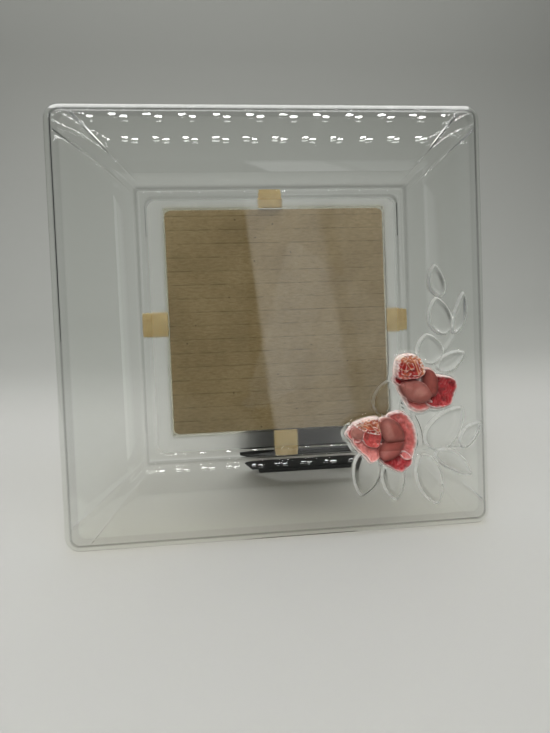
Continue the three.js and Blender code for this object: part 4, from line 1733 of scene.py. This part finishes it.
@dataclass
class Rose:
    """A satin rose in high relief, seated on the glass front."""

    plan: RosePlan
    plate: GlassPlate
    height: float = 7.2
    seat: float = 0.3
    skirt: float = 1.2
    skirt_width: float = 0.7
    wall: float = 0.5
    wrap: float = 2.1
    vein_spacing: float = 1.7
    vein_lift: float = 0.12
    thread: float = 0.17
    thread_lift: float = 0.3
    columns: int = 340
    rows: int = 100
    under_rows: int = 16
    march_steps: int = 161
    march_reach: float = 1.2
    near_reach: float = 1.45
    seed_start: float = 0.6
    seed_step: float = 1.7
    crown: float = 2.4
    swell: float = 4.5
    dusk: float = 2.6
    shadow_width: float = 0.7
    shadow_share: float = 0.6
    overlap: float = 0.3
    gold_share: float = 0.6
    edge_share: float = 0.985
    edge_height: float = 0.2
    least_height: float = 0.3
    satin_matte: float = 0.46
    skirt_matte: float = 0.15
    bright: float = 0.05
    palette: dict[str, str] = field(
        default_factory=lambda: {
            "satin": "#873C33",
            "satin_dusk": "#6A2921",
            # milky satin pink, also laid on as painted light on the left of each satin petal and as a painted
            # highlight where it swells
            "satin_milk_and_light": "#C28C7F",
            "deep": "#98101E",
            "blush": "#D25C54",
            "blush_pale": "#EDA89E",
            "bud": "#A0251F",
            "bud_crest": "#D68A60",
            # painted shade: dark red laid in the troughs of the folds, in the dips of the heart and beside
            # higher petals
            "fold_shade": "#5C1016",
            "rim": "#F3E6E0",
            "gold": "#DCC29A",
        }
    )

    def __post_init__(self) -> None:
        """Works out the bloom's place in millimetres and its smooth outlines."""
        self.u, self.v = self.plate.from_corner(self.plan.centre)
        self.spread = self.plan.spread * self.plate.unit
        middle = np.array([self.u, self.v])
        self.outlines = [
            closed_curve(np.reshape(petal.outline, (-1, 2)) / PER_CENT) * self.spread + middle
            for petal in self.plan.petals
        ]
        self.threads = [
            open_curve(np.reshape(thread, (-1, 2)) / PER_CENT) * self.spread + middle
            for thread in self.plan.threads
        ]

    def colour(self, name: str) -> Points:
        """A stain from the palette as a linear colour."""
        return np.array(linear(self.palette[name])[:3])

    def stained(self, colour: Points, name: str, share: Points) -> Points:
        """A colour with a share of a stain from the palette."""
        return blend(colour, self.colour(name), share)

    def outside(self, u: Points, v: Points) -> Points:
        """Distance of points outside the bloom's outline.

        Args:
            u, v: distances across and up the face.

        Returns:
            The distance in millimetres at each point, negative inside.
        """
        reach = np.full(u.shape, FAR)
        near = np.hypot(u - self.u, v - self.v) < self.near_reach * self.spread
        inset = np.full(int(near.sum()), -FAR)
        for outline in self.outlines:
            inset = np.maximum(inset, inset_depth(outline, u[near], v[near]))
        reach[near] = -inset
        return reach

    def reach(self, angle: Points) -> Points:
        """Radius of the bloom's outline in each direction, found by marching outward.

        Args:
            angle: the directions in radians.

        Returns:
            The radius in millimetres in each of them.
        """
        steps = np.linspace(0.0, self.march_reach * self.spread, self.march_steps)
        u = self.u + np.cos(angle)[:, None] * steps
        v = self.v + np.sin(angle)[:, None] * steps
        inside = self.outside(u, v) < 0.0
        last = inside.shape[1] - 1 - np.argmax(inside[:, ::-1], axis=1)
        radius = steps[last] + self.skirt_width
        kernel = np.array([1.0, 2.0, 3.0, 2.0, 1.0]) / 9.0
        wrapped = np.concatenate([radius[-2:], radius, radius[:2]])
        return np.convolve(wrapped, kernel, mode="valid")

    def veins(self, u: Points, v: Points, angle_deg: float, seed: float) -> Points:
        """Uneven vein lines: 1 on a crest and 0 between.

        Args:
            u, v: distances across and up the face.
            angle_deg: the way that the veins run.
            seed: shifts the pattern.

        Returns:
            The crest share at each point.
        """
        turn = math.radians(angle_deg)
        across = -u * math.sin(turn) + v * math.cos(turn)
        sway = 0.55 * mottle(u, v, 5.5, seed) + 0.2 * mottle(u, v, 2.3, seed + 1.0)
        wave = np.cos(2.0 * math.pi * (across / self.vein_spacing + sway))
        strong = smoothstep(-0.4, 0.6, mottle(u, v, 3.4, seed + 2.0))
        return smoothstep(0.35, 1.0, wave) * (0.35 + 0.65 * strong)

    def satin_petal(self, petal: PetalPlan, depth: Points, u: Points, v: Points, seed: float) -> Look:
        """A broad matte petal, domed, dusky at its rim, milky where it swells with a painted highlight there,
        and painted light on its left side.

        Args:
            petal: its plan.
            depth: distance inside its outline.
            u, v: distances across and up the face.
            seed: shifts its patterns.

        Returns:
            Height over the glass in millimetres, colour and roughness at each point.
        """
        crown = np.sqrt(1.0 - (1.0 - np.clip(depth / self.crown, 0.0, 1.0)) ** 2)
        swell = smoothstep(0.3, self.swell, depth)
        lift = petal.height * self.height * (0.7 + 0.2 * crown + 0.1 * swell)
        # milky patch where the petal swells: partly milky satin, partly a painted highlight
        patch = smoothstep(-0.5, 0.7, mottle(u, v, 9.0, seed)) * swell
        stain = blend(self.colour("satin_dusk"), self.colour("satin"), smoothstep(0.0, self.dusk, depth))
        middle = self.u + self.spread * float(np.mean(petal.outline[::2])) / PER_CENT
        # painted light: the left side of the petal is lighter
        lit = 0.4 * swell * smoothstep(0.05, -0.3, (u - middle) / self.spread)
        haze = np.minimum(petal.milky * (0.3 + 0.7 * patch) + lit, 1.0)
        stain = self.stained(stain, "satin_milk_and_light", haze)
        stain = self.stained(stain, "blush_pale", 0.35 * smoothstep(0.5, 0.15, depth))
        return lift, stain, np.full(u.shape, self.satin_matte)

    def curled_petal(self, petal: PetalPlan, depth: Points, u: Points, v: Points, seed: float) -> Look:
        """A bright petal, cupped, with a pale curled rim, folds with painted shade in their troughs, and
        uneven veins.

        Args:
            petal: its plan.
            depth: distance inside its outline.
            u, v: distances across and up the face.
            seed: shifts its patterns.

        Returns:
            Height over the glass in millimetres, colour and roughness at each point.
        """
        veins = self.veins(u, v, petal.vein_deg, seed)
        folds = mottle(u, v, 4.6, seed + 3.0)
        cup = 0.45 * bell(depth - 0.55, 0.45) - 0.5 * smoothstep(0.7, 2.8, depth)
        ripple = mottle(u, v, 1.9, seed + 5.0)
        relief = cup + 0.38 * folds + 0.16 * ripple + self.vein_lift * veins
        lift = petal.height * self.height * 0.9 + relief
        deep = petal.tone is Tone.DEEP
        stain = blend(self.colour("blush"), self.colour("deep"), 0.85 if deep else 0.35 + 0.35 * folds)
        # painted shade in the troughs of the folds
        stain = self.stained(stain, "fold_shade", 0.5 * smoothstep(-0.2, -0.8, folds))
        pale = 0.2 * veins if deep else petal.milky * (0.75 + 0.25 * veins)
        stain = self.stained(stain, "blush_pale", pale)
        rim = smoothstep(petal.rim, 0.2, depth) * (0.7 + 0.3 * mottle(u, v, 2.7, seed + 4.0))
        stain = self.stained(stain, "rim", 0.85 * rim)
        return lift, stain, self.bright + 0.12 * rim

    def wrapped_petals(self, petal: PetalPlan, depth: Points, u: Points, v: Points, seed: float) -> Look:
        """The heart of the bloom: thin petals wrapped one inside the other, with painted shade in the dip
        before each.

        Args:
            petal: its plan.
            depth: distance inside its outline.
            u, v: distances across and up the face.
            seed: shifts its patterns.

        Returns:
            Height over the glass in millimetres, colour and roughness at each point.
        """
        wander = depth + 0.55 * mottle(u, v, 4.4, seed) + 0.2 * mottle(u, v, 1.9, seed + 1.0)
        phase = np.mod(wander / self.wrap, 1.0)
        lift = petal.height * self.height * (0.8 + 0.06 * smoothstep(0.0, 3.0, depth))
        lift = lift + 0.85 * (0.5 - phase)
        upper_right = (u - self.u + v - self.v) / self.spread
        warm = smoothstep(-0.6, 0.7, 0.5 * mottle(u, v, 8.0, seed + 2.0) + upper_right)
        stain = blend(self.colour("bud"), self.colour("bud_crest"), 0.75 * warm)
        # painted shade in the dip where each wrap runs under the next
        stain = self.stained(stain, "fold_shade", 0.5 * smoothstep(0.7, 0.95, phase))
        rim = smoothstep(0.3, 0.08, phase) * (0.55 + 0.45 * mottle(u, v, 2.2, seed + 3.0))
        stain = self.stained(stain, "rim", 0.6 * rim)
        curl = mottle(u, v, 1.6, seed + 4.0)
        frill = smoothstep(1.7, 0.4, depth + 0.7 * curl)
        frill = frill * smoothstep(-0.1, 0.4, (v - self.v) / self.spread)
        stain = self.stained(stain, "rim", 0.85 * frill)
        return lift + 0.4 * frill * curl, stain, np.full(u.shape, self.bright)

    def petal_look(self, index: int, depth: Points, u: Points, v: Points) -> Look:
        """Height, stain and roughness of one petal.

        Args:
            index: the petal's number in the plan.
            depth: distance inside its outline.
            u, v: distances across and up the face.

        Returns:
            Height over the glass in millimetres, colour and roughness at each point.
        """
        petal = self.plan.petals[index]
        seed = self.seed_step * index + self.seed_start
        if petal.tone is Tone.SATIN:
            return self.satin_petal(petal, depth, u, v, seed)
        if petal.tone is Tone.BUD:
            return self.wrapped_petals(petal, depth, u, v, seed)
        return self.curled_petal(petal, depth, u, v, seed)

    def looks(self, u: Points, v: Points) -> Look:
        """The overlapping petals and gold threads from the lowest up, with a painted shadow of each higher
        petal on the one under it.

        Args:
            u, v: distances across and up the face.

        Returns:
            Height over the glass in millimetres, colour and roughness at each point.
        """
        top = np.full(u.shape, self.skirt)
        stain = np.tile(self.colour("rim"), u.shape + (1,))
        rough = np.full(u.shape, self.skirt_matte)
        for index, outline in enumerate(self.outlines):
            depth = inset_depth(outline, u, v)
            height, petal_stain, petal_rough = self.petal_look(index, np.maximum(depth, 0.0), u, v)
            raised = top + (height - top) * smoothstep(0.0, self.wall, depth)
            over = (depth > 0.0) & (height > top)
            # painted shadow: a higher petal darkens the lower one just outside its outline
            beside = (depth <= 0.0) & (height > top) & (top > self.skirt)
            shadow = np.where(beside, np.exp(depth / self.shadow_width), 0.0)
            stain = self.stained(stain, "fold_shade", self.shadow_share * shadow)
            cover = np.where(over, smoothstep(0.0, self.overlap, depth), 0.0)
            stain = blend(stain, petal_stain, cover)
            rough = rough + (petal_rough - rough) * cover
            top = np.where(over, np.maximum(raised, top), top)
        for thread in self.threads:
            reach = path_distance(thread, u, v)
            bead = dome(reach, self.thread)
            top = top + self.thread_lift * bead
            stain = self.stained(stain, "gold", self.gold_share * smoothstep(0.2, 0.8, bead))
        return top, stain, rough

    def build(self, material: Material, box: Points) -> None:
        """Makes the bloom as one closed relief on the glass.

        Args:
            material: the stained satin glass.
            box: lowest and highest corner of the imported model.
        """
        angle = np.linspace(0.0, 2.0 * math.pi, self.columns + 1)[:-1]
        reach = self.reach(angle)
        under = np.linspace(0.01, 1.0, self.under_rows)
        over = np.linspace(1.0, 0.004, self.rows)
        share = np.concatenate([under, over])[:, None]
        u = self.u + np.cos(angle) * reach * share
        v = self.v + np.sin(angle) * reach * share
        ground = self.plate.surface(u, v)
        seat = ground + self.plate.relief(u, v) + self.seat
        top, stain, rough = self.looks(u, v)
        upper = np.arange(len(share))[:, None] >= len(under)
        level = np.maximum(ground + top, seat + self.least_height)
        edge = smoothstep(1.0, self.edge_share, share)
        height = np.where(upper, seat + self.edge_height + (level - seat - self.edge_height) * edge, seat)
        points = np.clip(FACE.to_row(u, v, height), box[0], box[1])
        layers = {"stain": stain, "satin": np.repeat(rough[..., None], 3, axis=2)}
        piece = swept_shell(self.plan.name + "_bloom", points, layers)
        finish_piece(piece, Body.FRAME, Slot.ROSE, material, self.plan.name)


# Pocket, pads and card


@dataclass
class PhotoPocket:
    """The clear pocket behind the window and the four pads that bond it."""

    pad_round: float = 3.0
    pad_edge: float = 0.35
    pad_facets: int = 8
    edge_facets: int = 3
    sharp_deg: float = 40.0
    smooth_deg: float = 50.0
    edge: float = 0.22

    def build(self, frame: dict, acrylic: Material, pad: Material) -> None:
        """Makes the pocket and its pads.

        Args:
            frame: the loaded frame.
            acrylic: material of the pocket.
            pad: material of the pads.
        """
        shell = softened_copy(frame["nodes"]["photo_pocket"], "pocket_shell", self.edge)
        finish_piece(shell, Body.FRAME, Slot.ACRYLIC, acrylic, "photo_pocket")
        for side, turn in (("right", 0), ("top", 1), ("left", 2), ("bottom", 3)):
            self.build_pad(frame["nodes"][f"bond_pad_{side}"], side, turn, pad)

    def build_pad(
        self, node: Piece, side: str, turn: int, material: Material
    ) -> None:
        """Makes one pad: a cube rounded at its outer end and softened all over.

        Args:
            node: the pad's node, which gives its size and place.
            side: which side of the window it is on.
            turn: quarter turns from the right side.
            material: its material.
        """
        local = np.array((Matrix.Rotation(turn * math.pi / 2.0, 4, "Y") @ FACE.matrix().inverted()))
        where = coordinates(node.data) @ local[:3, :3].T + local[:3, 3]
        low, high = where.min(axis=0), where.max(axis=0)
        deselect()
        bpy.ops.mesh.primitive_cube_add(size=1.0, location=tuple((low + high) / 2.0))
        piece = bpy.context.object
        piece.name = f"pad_{side}"
        piece.scale = tuple(high - low)
        bpy.ops.object.transform_apply(location=True, rotation=True, scale=True)
        end = high[0] - TOUCH
        bevel_edges(
            piece,
            lambda p, q: min(p.x, q.x) > end and abs(p.y - q.y) > TOUCH,
            self.pad_round,
            self.pad_facets,
        )
        bevel_all(piece, self.pad_edge, self.edge_facets, self.sharp_deg)
        piece.data.transform(Matrix.Rotation(-turn * math.pi / 2.0, 4, "Y"))
        place_on_face(piece)
        smooth(piece, self.smooth_deg)
        finish_piece(piece, Body.FRAME, Slot.PAD, material, node.name)


@dataclass
class CorrugatedCard:
    """The corrugated card: two washboarded liners on a fluted sheet."""

    width: float = 102.8
    height: float = 103.8
    shift: Pair = (1.2, 1.9)
    corner: float = 2.5
    liner: float = 0.4
    front_depth: float = 1.35
    back_depth: float = 4.35
    pitch: float = 6.35
    crease_depth: float = 0.08
    crease_width: float = 0.55
    columns: int = 40
    rows: int = 288
    smooth_deg: float = 45.0

    def build(self, frame: dict, kraft: Material, flute: Material) -> None:
        """Makes both liners and dresses the fluted sheet.

        Args:
            frame: the loaded frame.
            kraft: material of the liners.
            flute: material of the fluted sheet.
        """
        self.build_liner("card_front_sheet", self.front_depth, 1.0, kraft, "card_front_liner")
        self.build_liner("card_back_sheet", self.back_depth, -1.0, kraft, "card_back_liner")
        sheet = frame["nodes"]["card_fluting"]
        sheet.data.materials.clear()
        sheet.data.materials.append(flute)
        LOG.info("card_fluting: keeps its packed shape")

    def build_liner(
        self, name: str, depth: float, facing: float, kraft: Material, node: str
    ) -> None:
        """Makes one liner from a grid, creased over the flutes and given its thickness.

        Args:
            name: the piece's name.
            depth: its front face's distance behind the rim's back plane.
            facing: 1 for creases on the front face, -1 for the back face.
            kraft: its material.
            node: the node that it replaces.
        """
        deselect()
        bpy.ops.mesh.primitive_grid_add(x_subdivisions=self.columns, y_subdivisions=self.rows, size=1.0)
        piece = bpy.context.object
        piece.name = name
        flat = coordinates(piece.data)
        u, v = self.round_corners(flat[:, 0] * self.width, flat[:, 1] * self.height)
        u, v = u + self.shift[0], v + self.shift[1]
        phase = np.abs((v / self.pitch + 0.5) % 1.0 - 0.5) * self.pitch
        row = np.rint(v / self.pitch)
        broken = 0.6 + 0.4 * np.sin(0.31 * u + 2.3 * row) * np.sin(0.13 * u - 1.7 * row)
        crease = self.crease_depth * broken * bell(phase, self.crease_width)
        set_coordinates(piece.data, np.stack([u, depth + facing * crease, v], axis=1) * MM)
        edit_all(piece)
        bpy.ops.mesh.flip_normals()
        bpy.ops.object.mode_set(mode="OBJECT")
        wall = piece.modifiers.new("paper", "SOLIDIFY")
        wall.thickness = self.liner * MM
        wall.offset = -1.0
        bpy.ops.object.modifier_apply(modifier=wall.name)
        edit_all(piece)
        bpy.ops.mesh.normals_make_consistent(inside=False)
        bpy.ops.object.mode_set(mode="OBJECT")
        place_on_face(piece)
        smooth(piece, self.smooth_deg)
        finish_piece(piece, Body.CARD, Slot.KRAFT, kraft, node)

    def round_corners(self, u: Points, v: Points) -> tuple[Points, Points]:
        """Draws the square corners of a sheet in to their radius.

        Args:
            u, v: distances across and up the sheet.

        Returns:
            Both distances after it.
        """
        core_u, core_v = self.width / 2.0 - self.corner, self.height / 2.0 - self.corner
        a, b = np.maximum(np.abs(u) - core_u, 0.0), np.maximum(np.abs(v) - core_v, 0.0)
        length = np.hypot(a, b)
        scale = np.where(length > 0.0, np.maximum(a, b) / np.maximum(length, 1e-9), 1.0)
        corner = (a > 0.0) & (b > 0.0)
        u = np.where(corner, np.sign(u) * (core_u + a * scale), u)
        v = np.where(corner, np.sign(v) * (core_v + b * scale), v)
        return u, v


# Easel


@dataclass
class Easel:
    """The hinge bracket with its pin and rivets, and the folding leg with its foot."""

    bracket_edge: float = 0.35
    leg_edge: float = 0.45
    foot_edge: float = 0.5
    pin_edge: float = 0.18
    rivet_edge: float = 0.2
    moulded_deg: float = 32.0
    turned_deg: float = 40.0

    def build(
        self, frame: dict, black: Material, steel: Material, rubber: Material
    ) -> None:
        """Makes the easel's pieces.

        Args:
            frame: the loaded frame.
            black: material of the bracket and leg.
            steel: material of the pin and rivets.
            rubber: material of the foot.
        """
        moulded, turned, still = self.moulded_deg, self.turned_deg, Body.FRAME
        pieces = [
            ("hinge_bracket", "bracket_moulding", still, Slot.BLACK, black, self.bracket_edge, 2, moulded),
            ("hinge_pin", "pin_rod", still, Slot.STEEL, steel, self.pin_edge, 2, turned),
        ]
        for number in range(1, 5):
            names = f"bracket_rivet_{number}", f"rivet_head_{number}"
            pieces.append((*names, still, Slot.STEEL, steel, self.rivet_edge, 2, turned))
        pieces += [
            ("easel_leg", "leg_moulding", Body.LEG, Slot.BLACK, black, self.leg_edge, 2, moulded),
            ("foot_pad", "foot_strip", Body.LEG, Slot.RUBBER, rubber, self.foot_edge, 3, moulded),
        ]
        for node, name, body, slot, material, edge, facets, angle in pieces:
            piece = softened_copy(frame["nodes"][node], name, edge, facets, angle)
            finish_piece(piece, body, slot, material, node)


# Studio


@dataclass(frozen=True)
class Softbox:
    """A rectangular lamp: place, target and size in metres, and power in watts."""

    name: str
    place: Triple
    target: Triple
    size: Pair
    power: float
    mirrored: bool = False


@dataclass
class Studio:
    """Camera, graduated paper sweep and soft light."""

    camera_mm: Triple = (-28.2, -222.6, 159.9)
    yaw_deg: float = -6.14
    pitch_deg: float = 18.37
    roll_deg: float = 0.49
    focal_px: float = 550.0
    sensor: float = 36.0
    clip_start: float = 0.005
    paper_width: Pair = (-0.42, 0.64)
    paper_length: Pair = (-2.4, 0.75)
    paper_bend: float = 0.35
    bend_facets: int = 14
    wall_height: float = 1.3
    smooth_deg: float = 60.0
    sides: Stops = (
        (0.0, "#6C6D6C"),
        (0.5, "#979998"),
        (0.68, "#A3A5A4"),
        (0.85, "#5E605F"),
        (1.0, "#565857"),
    )
    front: Stops = ((0.0, "#3C3C3B"), (0.6, "#4A4B49"), (0.8, "#5E605F"), (1.0, "#565857"))
    gap: str = "#2B2C2B"
    backdrop: str = "#9FA1A0"
    ahead: Pair = (-0.25, -0.7)
    beside: Pair = (0.42, 0.6)
    behind: Pair = (-0.05, 0.25)
    softboxes: tuple[Softbox, ...] = (
        Softbox("overhead_softbox", (0.0, 0.05, 1.1), (0.0, 0.05, 0.0), (0.9, 0.7), 3.9),
        Softbox("front_fill", (-0.25, -0.8, 0.8), (0.0, 0.03, 0.1), (0.9, 0.6), 6.0),
        Softbox("rim_panel", (0.0, 0.5, 0.8), (0.0, 0.06, 0.19), (1.1, 0.6), 4.6, True),
    )
    veil: GradedGlow = GradedGlow()
    veil_z: Pair = (0.13, 0.74)
    veil_y: float = -0.9
    lamp_size: Pair = (0.009, 0.02)
    lamp_corners: int = 12
    lamp_pair: Pair = (0.012, -0.02)
    lamp_pitch: float = 0.0385
    lamp_rows: Pair = (-0.01, -0.232)
    lamp_height: float = 0.6
    lamp_count: int = 43

    def build(self) -> None:
        """Makes the camera, the floor and the lights."""
        self.build_camera()
        self.build_floor()
        for softbox in self.softboxes:
            self.build_softbox(softbox)
        self.build_veil()
        self.build_surround()
        self.build_lamp_rows()

    def build_camera(self) -> None:
        """Places the camera at the photograph's viewing angle."""
        data = bpy.data.cameras.new("camera")
        data.sensor_fit = "VERTICAL"
        data.sensor_height = self.sensor
        data.lens = self.sensor * self.focal_px / IMAGE_HEIGHT
        data.clip_start = self.clip_start
        camera = bpy.data.objects.new("camera", data)
        bpy.context.scene.collection.objects.link(camera)
        aim = (
            Matrix.Rotation(math.radians(self.yaw_deg), 4, "Z")
            @ Matrix.Rotation(-math.radians(self.pitch_deg), 4, "X")
            @ Matrix.Rotation(math.radians(self.roll_deg), 4, "Y")
            @ Matrix.Rotation(math.pi / 2.0, 4, "X")
        )
        camera.matrix_world = Matrix.Translation(Vector(self.camera_mm) * MM) @ aim
        bpy.context.scene.camera = camera

    def build_floor(self) -> None:
        """Makes a paper sweep: a plane whose far edge is drawn up into a wall."""
        deselect()
        bpy.ops.mesh.primitive_plane_add(size=1.0)
        floor = bpy.context.object
        floor.name = "paper_sweep"
        (left, right), (near, end) = self.paper_width, self.paper_length
        floor.scale = (right - left, end - near, 1.0)
        floor.location = ((left + right) / 2.0, (near + end) / 2.0, 0.0)
        bpy.ops.object.transform_apply(location=True, rotation=True, scale=True)
        far = end - 1e-4
        select_edges(floor, lambda p, q: p.y > far and q.y > far)
        bpy.ops.object.mode_set(mode="EDIT")
        bpy.ops.mesh.select_mode(type="EDGE")
        bpy.ops.mesh.extrude_edges_move(TRANSFORM_OT_translate={"value": (0.0, 0.0, self.wall_height)})
        bpy.ops.object.mode_set(mode="OBJECT")
        bevel_edges(
            floor,
            lambda p, q: min(p.y, q.y) > far and max(p.z, q.z) < 1e-4,
            self.paper_bend / MM,
            self.bend_facets,
        )
        smooth(floor, self.smooth_deg)
        floor.data.materials.append(GraduatedPaper().build())
        floor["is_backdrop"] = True

    def build_softbox(self, softbox: Softbox) -> None:
        """Hangs one softbox.

        Args:
            softbox: its plan.
        """
        data = bpy.data.lights.new(softbox.name, "AREA")
        data.shape = "RECTANGLE"
        data.size, data.size_y = softbox.size
        data.energy = softbox.power
        lamp = bpy.data.objects.new(softbox.name, data)
        bpy.context.scene.collection.objects.link(lamp)
        lamp.location = softbox.place
        aim = Vector(softbox.target) - Vector(softbox.place)
        lamp.rotation_euler = aim.to_track_quat("-Z", "Y").to_euler()
        lamp.visible_glossy = softbox.mirrored
        lamp.visible_transmission = softbox.mirrored

    def build_veil(self) -> None:
        """Hangs a graded glowing card in front, whose reflection veils the window."""
        deselect()
        bpy.ops.mesh.primitive_plane_add(size=1.0, rotation=(math.pi / 2.0, 0.0, 0.0))
        card = bpy.context.object
        card.name = "veil_card"
        (left, right), (low, high) = self.veil.width, self.veil_z
        card.scale = (right - left, high - low, 1.0)
        card.location = ((left + right) / 2.0, self.veil_y, (low + high) / 2.0)
        bpy.ops.object.transform_apply(location=True, rotation=True, scale=True)
        card.data.materials.append(self.veil.build())
        card.visible_camera = False
        card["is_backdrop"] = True

    def build_surround(self) -> None:
        """Makes the surround: plain to the camera, and graded where the glass mirrors it."""
        world = bpy.data.worlds.new("surround")
        bpy.context.scene.world = world
        world.use_nodes = True
        tree = world.node_tree
        way = add_node(tree, "TexCoord", out="Generated")
        along = add_node(tree, "SeparateXYZ", {"Vector": way}).node.outputs
        height = add_node(tree, "MapRange", {"Value": along["Z"], "From Min": -1.0})
        aside = add_node(tree, "Math", {0: along["X"]}, operation="ABSOLUTE")
        limits = ((along["Y"], self.ahead), (aside, self.beside), (along["Y"], self.behind))
        eased = {"interpolation_type": "SMOOTHSTEP"}
        ahead, beside, behind = (
            add_node(tree, "MapRange", {"Value": value, **dict(zip(SPAN, span))}, **eased)
            for value, span in limits
        )
        shades = (self.sides, self.front)
        sides, front = (add_node(tree, "ValToRGB", {"Fac": height}, stops=stops) for stops in shades)
        gap = add_node(tree, "Math", {0: beside, 1: behind}, operation="MULTIPLY")
        shade = add_node(tree, "Mix", {0: ahead, 6: sides, 7: front}, **MIXED)
        shade = add_node(tree, "Mix", {0: gap, 6: shade, 7: self.gap}, **MIXED)
        direct = add_node(tree, "LightPath", out="Is Camera Ray")
        seen = add_node(tree, "Mix", {0: direct, 6: shade, 7: self.backdrop}, **MIXED)
        tree.links.new(seen, tree.nodes["Background"].inputs["Color"])

    def build_lamp_rows(self) -> None:
        """Makes two rows of small paired lamps overhead, which glint along the glass."""
        deselect()
        bpy.ops.mesh.primitive_circle_add(vertices=self.lamp_corners, radius=0.5, fill_type="NGON")
        rows = bpy.context.object
        rows.name = "lamp_rows"
        rows.scale = (*self.lamp_size, 1.0)
        bpy.ops.object.transform_apply(location=True, rotation=True, scale=True)
        near, far = self.lamp_rows
        steps = [
            (2, (*self.lamp_pair, 0.0)),
            (self.lamp_count, (self.lamp_pitch, 0.0, 0.0)),
            (2, (0.0, far - near, 0.0)),
        ]
        for count, step in steps:
            copies = rows.modifiers.new("copies", "ARRAY")
            copies.count = count
            copies.use_relative_offset = False
            copies.use_constant_offset = True
            copies.constant_offset_displace = step
            bpy.ops.object.modifier_apply(modifier=copies.name)
        start = -self.lamp_pitch * self.lamp_count / 2.0
        rows.data.transform(Matrix.Translation((start, near, self.lamp_height)))
        rows.data.flip_normals()
        rows.data.materials.append(WhiteDiodes().build())
        rows.visible_camera = False
        rows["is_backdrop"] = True


def set_light_paths() -> None:
    """Lets light pass through all the layers of glass and shows colours as they are."""
    scene = bpy.context.scene
    scene.cycles.max_bounces = BOUNCES
    scene.cycles.transmission_bounces = BOUNCES
    scene.cycles.glossy_bounces = GLOSSY_BOUNCES
    scene.view_settings.view_transform = "Standard"


def main() -> None:
    """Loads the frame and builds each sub-assembly."""
    logging.basicConfig(level=logging.INFO, format="%(name)s %(message)s")
    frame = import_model()
    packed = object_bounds()
    deselect()
    Studio().build()
    set_light_paths()
    box = np.array([list(corner) for corner in packed])
    plate = GlassPlate()
    plate.build(PressedGlass().build(), box)
    satin = SatinRoseGlass().build()
    for plan in plate.roses:
        Rose(plan, plate).build(satin, box)
    PhotoPocket().build(frame, ClearAcrylic().build(), YellowedPad().build())
    CorrugatedCard().build(frame, KraftLiner().build(), FlutePaper().build())
    Easel().build(frame, MouldedBlack().build(), BrightSteel().build(), BlackRubber().build())


if __name__ == "__main__":
    main()
